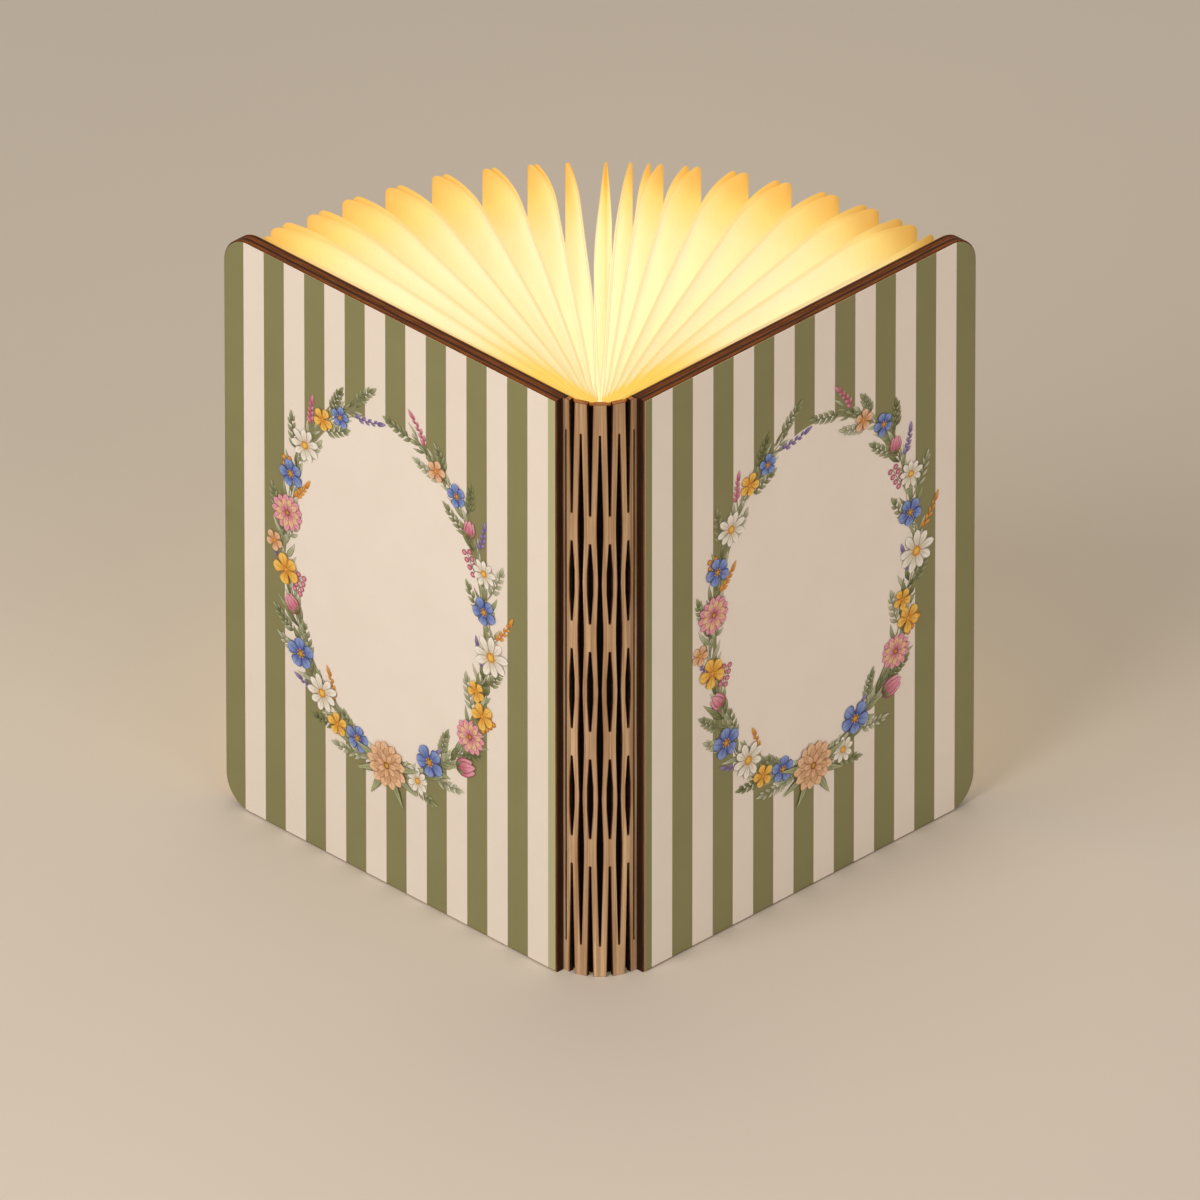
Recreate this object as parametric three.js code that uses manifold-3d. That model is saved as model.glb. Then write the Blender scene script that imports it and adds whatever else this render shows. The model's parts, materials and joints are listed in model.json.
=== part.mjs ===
import * as THREE from 'three';
import { mergeVertices } from 'three/addons/utils/BufferGeometryUtils.js';
import Module from 'manifold-3d';

const wasm = await Module();
wasm.setup();

// A folding book lamp, in millimetres and degrees, +Z up. It stands on the lower edges of its two covers,
// half open, with the spine towards -Y and the lit paper leaves fanned out towards +Y.

// Covers
const bookHeight = 215;
const coverWidth = 152;
const coverCornerRadius = 11;
const outerBoardThickness = 3;
const panelThickness = 2.2;
const liningThickness = 0.4;
const printThickness = 0.25;
const printInset = 0.5;
const liningInset = 3;
const liningStart = 6;
const glueGap = 0.1;
const cornerSteps = 6;

// Opening angle between the covers as the lamp stands
const openAngle = 90;
const straightAngle = 180;

// Lattice spine, cut in the same sheet as the inner panels
const slatWidth = 6;
const bridgeCount = 4;
const bridgeLength = 10.4;
const slotLength = 30;
const bendGap = 0.3;
const bendReliefAngle = 46;
const bendReliefOverrun = 0.2;
const slotMouthHalf = 0.9;
const slotEndHalf = 0.25;
const slotMiddleHalf = 0.85;
const twistSlotEndHalf = 0.25;
const twistSlotWideHalf = 1.05;
const twistSlotNarrowHalf = 0.55;
const solidEnd = 11.5;
const marginSlotOffset = 2.6;
const marginSlotHalf = 0.45;
const boardStart = 3.4;

// Dark cloth that backs the lattice, so that no light shows through its slots
const clothThickness = 0.3;
const clothFoldInset = 0.8;
const clothEndInset = 0.5;
const clothOverlap = 0.3;

// Magnets in the covers
const magnetRadius = 4;
const magnetThickness = 2;
const magnetClearance = 0.2;
const magnetEdgeInset = 12;
const magnetEndInset = 34;
const switchMagnetRadius = 2;
const switchMagnetThickness = 1.8;
const switchMagnetOffset = 8;
const roundSteps = 20;

// Paper leaves. The angles are shares of the half opening, counted from the middle leaf to a cover
const leafAngleShares = {
  left: [0.082, 0.176, 0.29, 0.422, 0.556, 0.687, 0.806, 0.925],
  right: [0.077, 0.141, 0.241, 0.367, 0.49, 0.628, 0.756, 0.885],
};
const leafLength = 154.5;
const leafPitch = 0.5;
const leafRootHeight = 2;
const leafRootHalf = 0.11;
const leafStem = 9;
const leafSplit = 11.5;
const leafGap = 0.12;
const paperThickness = 0.22;
const pageInset = 1.2;
const pageCornerRadius = 2.5;
const pageCornerSteps = 4;
const bindingLength = 10;
const leafNotch = 13;
const lastLeafClearance = 1.1;
const leafOverrun = 4;
// For each share of the leaf's length: the share of the room beside it that its bowed sheets fill there,
// and the share of that room that lies between its two sheets
const bowShares = [
  [0.1, 0.75, 0], [0.2, 0.9, 0], [0.45, 0.96, 0.04], [0.75, 0.97, 0.05],
  [0.86, 0.92, 0.08], [0.93, 0.68, 0.14], [0.975, 0.4, 0.26], [1, 0.2, 0.4],
];
const sheetSpacing = 0.6;
// The sheet next to a cover lies along its lining
const endSheetShares = [[0.1, 0.75], [0.2, 0.9], [0.45, 0.96], [0.9, 0.97], [0.97, 0.93]];

// Light core on the middle slat
const tapeWidth = 3;
const tapeThickness = 0.5;
const tapeInset = 4;
const coreRadius = 5;
const coreFlatDepth = 0.4;
const coreWall = 0.8;
const coreMouthAngle = 100;
const coreArcSteps = 26;
const coreFoot = 3;
const coreHeadClearance = 1.5;
const capThickness = 1.6;
const capSpigotLength = 3;
const capSpigotClearance = 0.25;
const diffuserGap = 0.3;
const diffuserArcSteps = 12;
const railWidth = 1.3;
const railThickness = 0.8;
const railOverlap = 0.35;
const boardThickness = 0.8;
const boardSideClearance = 0.2;
const boardHeadClearance = 4;
const ledBoardFoot = 9;
const ledCount = 8;
const ledWidth = 2.8;
const ledHeight = 3.5;
const ledDepth = 0.8;
const ledBevel = 0.2;
const ledEndInset = 9;
const socketWidth = 7.4;
const socketDepth = 2.7;
const socketLength = 5.6;
const socketWall = 0.35;
const socketBackWall = 0.8;
const socketChamfer = 0.8;
const socketTongueWidth = 4.6;
const socketTongueThickness = 0.6;
const socketTongueSetback = 0.8;
const socketTongueRise = 0.35;
const socketClearance = 0.25;
const socketSetback = 0.2;
const chargeBoardWidth = 6.4;
const chargeBoardLength = 22;
const chargeBoardFoot = 2.5;
const sensorWidth = 2.9;
const sensorLength = 1.6;
const sensorDepth = 1;
const sensorHeight = 14;
const indicatorWidth = 1.6;
const indicatorLength = 0.8;
const indicatorDepth = 0.6;
const indicatorHeight = 10;
const cellWidth = 5.6;
const cellDepth = 2.9;
const cellLength = 100;
const cellCornerRadius = 1.2;
const cellCornerSteps = 4;
const cellGap = 5;
const leadRadius = 0.4;
const leadSides = 8;
const leadSteps = 6;
const leadSpacing = 3.4;
const leadEndGap = 0.3;
const leadBow = 0.6;
const jumperBow = 0.2;

// Places that follow from the sizes
const toRadians = THREE.MathUtils.degToRad;
const bendLines = 4;
const bendAngle = toRadians((straightAngle - openAngle) / bendLines);
const halfOpening = toRadians(openAngle / 2);
const panelHalf = panelThickness / 2;
const openSlotLength = (bookHeight - bridgeCount * bridgeLength - (bridgeCount - 1) * slotLength) / 2;
const bridgeStep = bridgeLength + slotLength;
const foreEdge = boardStart + coverWidth;
const outerBoardBack = -panelHalf - glueGap - outerBoardThickness;
const printBack = outerBoardBack - glueGap - printThickness;
const liningBack = panelHalf + glueGap;
const pageTop = bookHeight - pageInset;
const clothBack = panelHalf + glueGap;
const tapeBack = clothBack + clothThickness + glueGap;
const coreBack = tapeBack + tapeThickness + glueGap;
const coreCentre = coreBack + coreRadius - coreFlatDepth;
const coreTop = pageTop - bindingLength - coreHeadClearance;
const housingFoot = coreFoot + capThickness + glueGap;
const housingTop = coreTop - capThickness - glueGap;
const housingLength = housingTop - housingFoot;
const coreInside = coreRadius - coreWall;
const coreFlat = coreRadius - coreFlatDepth;
const railTop = coreCentre + railThickness + boardThickness / 2;
const ledBoardBack = railTop + glueGap;
const ledBoardFront = ledBoardBack + boardThickness;
const ledBoardReach = ledBoardFront - coreCentre;
const ledBoardHalf = Math.sqrt(coreInside ** 2 - ledBoardReach ** 2) - boardSideClearance;
const ledBoardLength = housingLength - ledBoardFoot - boardHeadClearance;
const socketFoot = coreFoot + socketSetback;
const chargeBoardFront = coreCentre - socketDepth / 2 - glueGap;
const chargeBoardZ = housingFoot + chargeBoardFoot;
const chargeBoardTop = chargeBoardZ + chargeBoardLength;
const cellFoot = chargeBoardTop + cellGap;
const cellBack = coreCentre - cellDepth;
const sensorZ = housingFoot + sensorHeight;

// Finishes
const finishes = {
  print: new THREE.MeshStandardMaterial({ color: 0xb9b295, roughness: 0.45, metalness: 0 }),
  board: new THREE.MeshStandardMaterial({ color: 0x5a2f1a, roughness: 0.65, metalness: 0 }),
  panel: new THREE.MeshStandardMaterial({ color: 0xbe8c5f, roughness: 0.6, metalness: 0 }),
  lining: new THREE.MeshStandardMaterial({ color: 0xe8cfa8, roughness: 0.85, metalness: 0 }),
  paper: new THREE.MeshStandardMaterial({ color: 0xffe9b8, roughness: 0.9, metalness: 0 }),
  cloth: new THREE.MeshStandardMaterial({ color: 0x241d18, roughness: 0.95, metalness: 0 }),
  tape: new THREE.MeshStandardMaterial({ color: 0x3a3a3c, roughness: 0.9, metalness: 0 }),
  housing: new THREE.MeshStandardMaterial({ color: 0xf0eee8, roughness: 0.5, metalness: 0 }),
  diffuser: new THREE.MeshStandardMaterial({ color: 0xfff4d8, roughness: 0.4, metalness: 0 }),
  circuit: new THREE.MeshStandardMaterial({ color: 0xf4f2ea, roughness: 0.5, metalness: 0 }),
  led: new THREE.MeshStandardMaterial({ color: 0xffe27a, roughness: 0.3, metalness: 0 }),
  chip: new THREE.MeshStandardMaterial({ color: 0x1c1c1e, roughness: 0.5, metalness: 0 }),
  steel: new THREE.MeshStandardMaterial({ color: 0xb8bbc0, roughness: 0.3, metalness: 1 }),
  cell: new THREE.MeshStandardMaterial({ color: 0x9aa4b0, roughness: 0.4, metalness: 0 }),
  redLead: new THREE.MeshStandardMaterial({ color: 0xb3261e, roughness: 0.5, metalness: 0 }),
  blackLead: new THREE.MeshStandardMaterial({ color: 0x202022, roughness: 0.5, metalness: 0 }),
};

// Geometry helpers

// Keeps only the corner positions, each written once, so that the body closes on itself
function closed(geometry) {
  const bare = geometry.clone();
  bare.deleteAttribute('normal');
  bare.deleteAttribute('uv');
  return mergeVertices(bare);
}

// The body for the right side as drawn, or its mirror image for the left side
function handed(geometry, side) {
  if (side > 0) {
    return geometry;
  }
  const mirrored = geometry.clone().scale(-1, 1, 1);
  const corners = mirrored.index;
  for (let first = 0; first < corners.count; first += 3) {
    const kept = corners.getX(first);
    corners.setX(first, corners.getX(first + 2));
    corners.setX(first + 2, kept);
  }
  return mirrored;
}

// A panel: an outline in X and Z, made thick along Y from back
function upright(shape, thickness, back, curveSegments = cornerSteps) {
  const geometry = new THREE.ExtrudeGeometry(shape, { depth: thickness, bevelEnabled: false, curveSegments });
  geometry.rotateX(Math.PI / 2);
  geometry.translate(0, back + thickness, 0);
  return closed(geometry);
}

// A column: an outline in X and Y, carried up along Z from foot
function column(shape, height, foot, curveSegments = cornerSteps) {
  const geometry = new THREE.ExtrudeGeometry(shape, { depth: height, bevelEnabled: false, curveSegments });
  geometry.translate(0, 0, foot);
  return closed(geometry);
}

function block(width, depth, height, x, y, z) {
  const geometry = new THREE.BoxGeometry(width, depth, height);
  geometry.translate(x, y, z);
  return closed(geometry);
}

// A disc whose axis runs along Y, from back
function disc(radius, thickness, x, back, z) {
  const geometry = new THREE.CylinderGeometry(radius, radius, thickness, roundSteps);
  geometry.translate(x, back + thickness / 2, z);
  return closed(geometry);
}

function toSolid(geometry) {
  const vertProperties = new Float32Array(geometry.attributes.position.array);
  const triVerts = new Uint32Array(geometry.index.array);
  return new wasm.Manifold(new wasm.Mesh({ numProp: 3, vertProperties, triVerts }));
}

function toGeometry(solid) {
  const mesh = solid.getMesh();
  const geometry = new THREE.BufferGeometry();
  geometry.setAttribute('position', new THREE.BufferAttribute(mesh.vertProperties, mesh.numProp));
  geometry.setIndex(new THREE.BufferAttribute(mesh.triVerts, 1));
  return geometry;
}

function cut(geometry, ...tools) {
  return toGeometry(tools.reduce((rest, tool) => rest.subtract(toSolid(tool)), toSolid(geometry)));
}

function join(geometry, ...others) {
  return toGeometry(others.reduce((whole, other) => whole.add(toSolid(other)), toSolid(geometry)));
}

function common(geometry, other) {
  return toGeometry(toSolid(geometry).intersect(toSolid(other)));
}

function named(name, geometry, material) {
  const shaded = geometry.clone();
  shaded.computeVertexNormals();
  const mesh = new THREE.Mesh(shaded, material);
  mesh.name = name;
  return mesh;
}

function rectangle(left, right, low, high) {
  const shape = new THREE.Shape();
  shape.moveTo(left, low);
  shape.lineTo(right, low);
  shape.lineTo(right, high);
  shape.lineTo(left, high);
  return shape;
}

// Lattice outlines

// Half the width of the slot along a bend line, at each height from the foot to the head
function bendSlotEdge() {
  const edge = [[slotMouthHalf, 0], [slotEndHalf, openSlotLength]];
  for (let bridge = 0; bridge < bridgeCount; bridge += 1) {
    const last = bridge === bridgeCount - 1;
    const low = openSlotLength + bridge * bridgeStep;
    const high = low + bridgeLength;
    edge.push([bendGap / 2, low], [bendGap / 2, high], [slotEndHalf, high]);
    if (!last) {
      edge.push([slotMiddleHalf, high + slotLength / 2], [slotEndHalf, high + slotLength]);
    }
  }
  edge.push([slotMouthHalf, bookHeight]);
  return edge;
}

// The long slot between two bend lines, wide beside the bridges and narrow beside the slots' middles
function twistSlot(x) {
  const edge = [[twistSlotEndHalf, solidEnd]];
  for (let bridge = 0; bridge < bridgeCount; bridge += 1) {
    const middle = openSlotLength + bridge * bridgeStep + bridgeLength / 2;
    edge.push([twistSlotWideHalf, middle]);
    if (bridge < bridgeCount - 1) {
      edge.push([twistSlotNarrowHalf, middle + bridgeStep / 2]);
    }
  }
  edge.push([twistSlotEndHalf, bookHeight - solidEnd]);
  const hole = new THREE.Path();
  hole.moveTo(x + edge[0][0], edge[0][1]);
  edge.slice(1).forEach(([half, z]) => hole.lineTo(x + half, z));
  edge.reverse().forEach(([half, z]) => hole.lineTo(x - half, z));
  return hole;
}

function slatShape() {
  const shape = new THREE.Shape();
  const edge = bendSlotEdge();
  shape.moveTo(slatWidth - edge[0][0], edge[0][1]);
  edge.slice(1).forEach(([half, z]) => shape.lineTo(slatWidth - half, z));
  edge.reverse().forEach(([half, z]) => shape.lineTo(half, z));
  shape.holes.push(twistSlot(slatWidth / 2));
  return shape;
}

// A slat or panel edge drawn back from its bend line on both faces, so that neighbours can fold either way
function relieved(geometry, farEdge, bothEdges) {
  const reach = panelHalf + bendReliefOverrun;
  const slope = reach * Math.tan(toRadians(bendReliefAngle / 2));
  const near = bendGap / 2;
  const shape = new THREE.Shape();
  shape.moveTo(near + slope, -reach);
  if (bothEdges) {
    shape.lineTo(farEdge - near - slope, -reach);
    shape.lineTo(farEdge - near, 0);
    shape.lineTo(farEdge - near - slope, reach);
  } else {
    shape.lineTo(farEdge + reach, -reach);
    shape.lineTo(farEdge + reach, reach);
  }
  shape.lineTo(near + slope, reach);
  shape.lineTo(near, 0);
  return common(geometry, column(shape, bookHeight + 2 * reach, -reach));
}

// One flat stretch of the cloth, between the folds that it makes along the bend lines
function clothStrip(left, right) {
  const shape = rectangle(left, right, clothEndInset, bookHeight - clothEndInset);
  return upright(shape, clothThickness, clothBack);
}

// Cover outlines, drawn for the right side: X runs from the outer bend line to the fore-edge

function roundedForeEdge(shape, right, low, high, radius) {
  shape.lineTo(right - radius, low);
  shape.absarc(right - radius, low + radius, radius, -Math.PI / 2, 0, false);
  shape.lineTo(right, high - radius);
  shape.absarc(right - radius, high - radius, radius, 0, Math.PI / 2, false);
}

function boardShape(left, inset) {
  const shape = new THREE.Shape();
  shape.moveTo(left, inset);
  roundedForeEdge(shape, foreEdge - inset, inset, bookHeight - inset, coverCornerRadius - inset);
  shape.lineTo(left, bookHeight - inset);
  return shape;
}

function panelShape() {
  const shape = new THREE.Shape();
  const edge = bendSlotEdge();
  shape.moveTo(edge[0][0], edge[0][1]);
  roundedForeEdge(shape, foreEdge, 0, bookHeight, coverCornerRadius);
  edge.reverse().forEach(([half, z]) => shape.lineTo(half, z));
  const slot = new THREE.Path();
  slot.moveTo(marginSlotOffset - marginSlotHalf, solidEnd);
  slot.lineTo(marginSlotOffset + marginSlotHalf, solidEnd);
  slot.lineTo(marginSlotOffset + marginSlotHalf, bookHeight - solidEnd);
  slot.lineTo(marginSlotOffset - marginSlotHalf, bookHeight - solidEnd);
  shape.holes.push(slot);
  return shape;
}

// Covers: a printed sheet on an outer board, the inner panel with the edge of the lattice, and a lining

function magnetHeights() {
  return { bottom: magnetEndInset, top: bookHeight - magnetEndInset };
}

function makeCover(word, side) {
  const cover = new THREE.Group();
  const place = (name, geometry, material) => cover.add(named(name, handed(geometry, side), material));
  const magnetX = foreEdge - magnetEdgeInset;
  const magnetBack = -panelHalf - glueGap - magnetThickness;
  const pockets = Object.values(magnetHeights()).map((z) => disc(
    magnetRadius + magnetClearance,
    magnetThickness + magnetClearance + glueGap,
    magnetX,
    magnetBack - magnetClearance,
    z,
  ));
  const board = upright(boardShape(boardStart, 0), outerBoardThickness, outerBoardBack);
  place(`${word}_outer_board`, cut(board, ...pockets), finishes.board);
  const print = boardShape(boardStart + printInset, printInset);
  place(`${word}_print_sheet`, upright(print, printThickness, printBack), finishes.print);
  const lining = boardShape(liningStart, liningInset);
  place(`${word}_lining`, upright(lining, liningThickness, liningBack), finishes.lining);
  Object.entries(magnetHeights()).forEach(([end, z]) => {
    const magnet = disc(magnetRadius, magnetThickness, magnetX, magnetBack, z);
    place(`${word}_magnet_${end}`, magnet, finishes.steel);
  });
  let panel = relieved(upright(panelShape(), panelThickness, -panelHalf), foreEdge, false);
  if (side < 0) {
    const holeRadius = switchMagnetRadius + magnetClearance;
    const holeDepth = panelThickness + 2 * magnetClearance;
    const holeBack = -panelHalf - magnetClearance;
    panel = cut(panel, disc(holeRadius, holeDepth, switchMagnetOffset, holeBack, sensorZ));
    const back = -switchMagnetThickness / 2;
    const magnet = disc(switchMagnetRadius, switchMagnetThickness, switchMagnetOffset, back, sensorZ);
    place('switch_magnet', magnet, finishes.steel);
  }
  place(`${word}_inner_panel`, panel, finishes.panel);
  place(`${word}_hinge_cloth`, clothStrip(clothFoldInset, liningStart - clothOverlap), finishes.cloth);
  return cover;
}

// Paper leaves. Each is a folded sheet: two layers that share a stem, bow side by side towards the middle
// of the fan, and curl back towards the cover at the fore-edge

// The room beside a leaf at a reach from its root, towards a neighbour at twice the half angle
function leafRoom(reach, halfAngle, rootClear) {
  return rootClear + reach * Math.tan(halfAngle) - leafGap;
}

// Points along the face of a leaf's inner layer, which is the one nearer the middle of the fan
function innerLayer(halfAngle, rootClear) {
  return bowShares.map(([along, fill]) => {
    const reach = along * leafLength;
    return [-leafRoom(reach, halfAngle, rootClear) * fill, reach];
  });
}

function outerLayer(halfAngle, rootClear) {
  return bowShares.map(([along, fill, apart]) => {
    const reach = along * leafLength;
    const room = leafRoom(reach, halfAngle, rootClear);
    return [Math.max(sheetSpacing, room * apart) - room * fill, reach];
  });
}

// The sheet that follows the last leaf, against the cover
function endSheet(halfAngle) {
  return endSheetShares.map(([along, fill]) => {
    const reach = along * leafLength;
    return [leafRoom(reach, halfAngle, lastLeafClearance) * fill, reach];
  });
}

// The outline in plan of a stem and its layers, which come in order from the cover's side
function leafPlan(layers) {
  const shape = new THREE.Shape();
  const splitShare = (leafSplit - leafStem) / (layers[0][0][1] - leafStem);
  shape.moveTo(leafRootHalf, 0);
  shape.lineTo(leafRootHalf, leafStem);
  layers.forEach((layer, index) => {
    const innermost = index === layers.length - 1;
    const [near, far] = innermost ? [paperThickness, 0] : [0, -paperThickness];
    if (index > 0) {
      const between = (layers[index - 1][0][0] + layer[0][0]) / 2;
      shape.lineTo(splitShare * between, leafSplit);
    }
    layer.forEach(([x, reach]) => shape.lineTo(x + near, reach));
    layer.slice().reverse().forEach(([x, reach]) => shape.lineTo(x + far, reach));
  });
  shape.lineTo(-leafRootHalf, leafStem);
  shape.lineTo(-leafRootHalf, 0);
  return shape;
}

// The leaf seen from its side: round corners at the fore-edge, and cut back round the core below its binding
function leafSide() {
  const shape = new THREE.Shape();
  shape.moveTo(leafNotch, pageInset);
  roundedForeEdge(shape, leafLength, pageInset, pageTop, pageCornerRadius);
  shape.lineTo(-leafOverrun, pageTop);
  shape.lineTo(-leafOverrun, pageTop - bindingLength);
  shape.lineTo(leafNotch, pageTop - bindingLength);
  return shape;
}

function leafCutter() {
  const width = leafLength / 2;
  const geometry = upright(leafSide(), width, -width / 2, pageCornerSteps);
  return geometry.rotateZ(Math.PI / 2);
}

function makeLeaf(name, side, cutter, layers) {
  const sheets = column(leafPlan(layers), bookHeight, 0);
  return named(name, handed(common(sheets, cutter), side), finishes.paper);
}

function makeLeaves() {
  const fan = new THREE.Group();
  const cutter = leafCutter();
  const middleHalf = leafAngleShares.left[0] * halfOpening / 2;
  const middleLayers = [outerLayer(middleHalf, leafPitch / 2), innerLayer(middleHalf, leafPitch / 2)];
  const middleLeaf = makeLeaf('page_leaf_middle', 1, cutter, middleLayers);
  middleLeaf.position.y = leafRootHeight;
  fan.add(middleLeaf);
  for (const [word, side] of [['left', -1], ['right', 1]]) {
    const angles = [0, ...leafAngleShares[word].map((share) => share * halfOpening)];
    for (let index = 1; index < angles.length; index += 1) {
      const angle = angles[index];
      const inwardHalf = (angle - angles[index - 1]) / 2;
      const rootClear = Math.cos(angle) * leafPitch / 2;
      const layers = [outerLayer(inwardHalf, rootClear), innerLayer(inwardHalf, rootClear)];
      if (index === angles.length - 1) {
        layers.unshift(endSheet(halfOpening - angle));
      }
      const leaf = makeLeaf(`${word}_page_leaf_${index}`, side, cutter, layers);
      const rootX = index * leafPitch;
      const rise = Math.max(0, rootX - slatWidth / 2) * Math.tan(bendAngle);
      leaf.position.set(side * rootX, leafRootHeight + rise, 0);
      leaf.rotation.z = -side * angle;
      fan.add(leaf);
    }
  }
  return fan;
}

// Light core

// Points of an arc about the core's axis, flattened at the back
function coreArc(radius, flat, from, to, steps) {
  const points = [];
  for (let step = 0; step <= steps; step += 1) {
    const angle = from + (to - from) * step / steps;
    const x = radius * Math.cos(angle);
    const y = Math.max(radius * Math.sin(angle), -flat);
    points.push(new THREE.Vector2(x, coreCentre + y));
  }
  return points;
}

function shellShape(outer, inner) {
  return new THREE.Shape([...outer, ...inner.slice().reverse()]);
}

function makeHousing() {
  const halfMouth = toRadians(coreMouthAngle / 2);
  const from = Math.PI / 2 + halfMouth;
  const to = from + 2 * (Math.PI - halfMouth);
  const outer = coreArc(coreRadius, coreFlat, from, to, coreArcSteps);
  const inner = coreArc(coreInside, coreFlat - coreWall, from, to, coreArcSteps);
  const shell = column(shellShape(outer, inner), housingLength, housingFoot);
  const railX = coreInside - railWidth / 2 + railOverlap;
  const railZ = housingFoot + ledBoardFoot + ledBoardLength / 2;
  const railY = railTop - railThickness / 2;
  const rails = [-1, 1].map((side) => (
    block(railWidth, railThickness, ledBoardLength, side * railX, railY, railZ)
  ));
  return named('core_housing', join(shell, ...rails), finishes.housing);
}

function makeDiffuser() {
  const halfMouth = toRadians(coreMouthAngle / 2) - diffuserGap / coreRadius;
  const from = Math.PI / 2 - halfMouth;
  const to = Math.PI / 2 + halfMouth;
  const outer = coreArc(coreRadius, coreFlat, from, to, diffuserArcSteps);
  const inner = coreArc(coreInside, coreFlat, from, to, diffuserArcSteps);
  const shell = column(shellShape(outer, inner), housingLength, housingFoot);
  return named('core_diffuser', shell, finishes.diffuser);
}

function capPlate(foot) {
  const rim = coreArc(coreRadius, coreFlat, 0, 2 * Math.PI, coreArcSteps).slice(1);
  return column(new THREE.Shape(rim), capThickness, foot);
}

function makeTopCap() {
  const radius = coreInside - capSpigotClearance;
  const flat = coreFlat - coreWall - capSpigotClearance;
  const rim = coreArc(radius, flat, 0, 2 * Math.PI, coreArcSteps).slice(1);
  const foot = housingTop + glueGap;
  const spigot = column(new THREE.Shape(rim), capSpigotLength + capThickness / 2, foot - capSpigotLength);
  return named('core_top_cap', join(capPlate(foot), spigot), finishes.housing);
}

// The charging inlet's outline, wide at the front and narrowed by two chamfers at the back
function socketShape(width, depth, chamfer) {
  const shape = new THREE.Shape();
  shape.moveTo(-width / 2 + chamfer, -depth / 2);
  shape.lineTo(width / 2 - chamfer, -depth / 2);
  shape.lineTo(width / 2, -depth / 2 + chamfer);
  shape.lineTo(width / 2, depth / 2);
  shape.lineTo(-width / 2, depth / 2);
  shape.lineTo(-width / 2, -depth / 2 + chamfer);
  return shape;
}

function makeBottomCap() {
  const grow = 2 * socketClearance;
  const outline = socketShape(socketWidth + grow, socketDepth + grow, socketChamfer);
  const hole = column(outline, 2 * capThickness, coreFoot - capThickness / 2);
  hole.translate(0, coreCentre, 0);
  return named('core_bottom_cap', cut(capPlate(coreFoot), hole), finishes.housing);
}

function makeSocket() {
  const shell = column(socketShape(socketWidth, socketDepth, socketChamfer), socketLength, 0);
  const shrink = 2 * socketWall;
  const mouthShape = socketShape(socketWidth - shrink, socketDepth - shrink, socketChamfer - socketWall / 2);
  const mouth = column(mouthShape, socketLength, -socketBackWall);
  const tongueLength = socketLength - socketTongueSetback - socketBackWall / 2;
  const tongueZ = socketTongueSetback + tongueLength / 2;
  const tongue = block(socketTongueWidth, socketTongueThickness, tongueLength, 0, socketTongueRise, tongueZ);
  const socket = join(cut(shell, mouth), tongue);
  socket.translate(0, coreCentre, socketFoot);
  return named('charging_socket', socket, finishes.steel);
}

function makeLedBoard() {
  const foot = housingFoot + ledBoardFoot;
  const shape = rectangle(-ledBoardHalf, ledBoardHalf, foot, foot + ledBoardLength);
  return named('led_board', upright(shape, boardThickness, ledBoardBack), finishes.circuit);
}

function makeLed(index) {
  const half = ledWidth / 2 - ledBevel;
  const tall = ledHeight / 2 - ledBevel;
  const shape = rectangle(-half, half, -tall, tall);
  const geometry = new THREE.ExtrudeGeometry(shape, {
    depth: ledDepth - 2 * ledBevel,
    bevelThickness: ledBevel,
    bevelSize: ledBevel,
    bevelSegments: 1,
  });
  geometry.rotateX(Math.PI / 2);
  const first = housingFoot + ledBoardFoot + ledEndInset;
  const step = (ledBoardLength - 2 * ledEndInset) / (ledCount - 1);
  geometry.translate(0, ledBoardFront + glueGap + ledDepth - ledBevel, first + index * step);
  return named(`led_${index + 1}`, closed(geometry), finishes.led);
}

function makeChargeBoard() {
  const half = chargeBoardWidth / 2;
  const shape = rectangle(-half, half, chargeBoardZ, chargeBoardTop);
  const board = upright(shape, boardThickness, chargeBoardFront - boardThickness);
  return named('charge_board', board, finishes.circuit);
}

function makeSensor() {
  const y = chargeBoardFront + glueGap + sensorDepth / 2;
  return named('switch_sensor', block(sensorWidth, sensorDepth, sensorLength, 0, y, sensorZ), finishes.chip);
}

function makeIndicator() {
  const y = chargeBoardFront + glueGap + indicatorDepth / 2;
  const z = housingFoot + indicatorHeight;
  const body = block(indicatorWidth, indicatorDepth, indicatorLength, 0, y, z);
  return named('charge_indicator', body, finishes.led);
}

function makeCell() {
  const half = cellWidth / 2;
  const radius = cellCornerRadius;
  const low = cellBack;
  const high = cellBack + cellDepth;
  const shape = new THREE.Shape();
  shape.moveTo(-half + radius, low);
  shape.lineTo(half - radius, low);
  shape.absarc(half - radius, low + radius, radius, -Math.PI / 2, 0, false);
  shape.lineTo(half, high - radius);
  shape.absarc(half - radius, high - radius, radius, 0, Math.PI / 2, false);
  shape.lineTo(-half + radius, high);
  shape.absarc(-half + radius, high - radius, radius, Math.PI / 2, Math.PI, false);
  shape.lineTo(-half, low + radius);
  shape.absarc(-half + radius, low + radius, radius, Math.PI, 1.5 * Math.PI, false);
  return named('battery_cell', column(shape, cellLength, cellFoot, cellCornerSteps), finishes.cell);
}

// A short insulated lead along a smooth curve through the given points
function makeLead(name, points, material) {
  const path = new THREE.CatmullRomCurve3(points.map((point) => new THREE.Vector3(...point)));
  const section = new THREE.Shape();
  for (let step = 0; step < leadSides; step += 1) {
    const angle = 2 * Math.PI * step / leadSides;
    const x = leadRadius * Math.cos(angle);
    const y = leadRadius * Math.sin(angle);
    if (step === 0) {
      section.moveTo(x, y);
    } else {
      section.lineTo(x, y);
    }
  }
  const sweep = { steps: leadSteps, extrudePath: path, bevelEnabled: false };
  const geometry = new THREE.ExtrudeGeometry(section, sweep);
  return named(name, closed(geometry), material);
}

function makeBatteryLead(name, side, material) {
  const x = side * leadSpacing / 2;
  const y = cellBack + cellDepth / 2;
  const low = chargeBoardTop + leadEndGap;
  const high = cellFoot - leadEndGap;
  return makeLead(name, [[x, y, low], [x + side * leadBow, y, (low + high) / 2], [x, y, high]], material);
}

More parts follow.
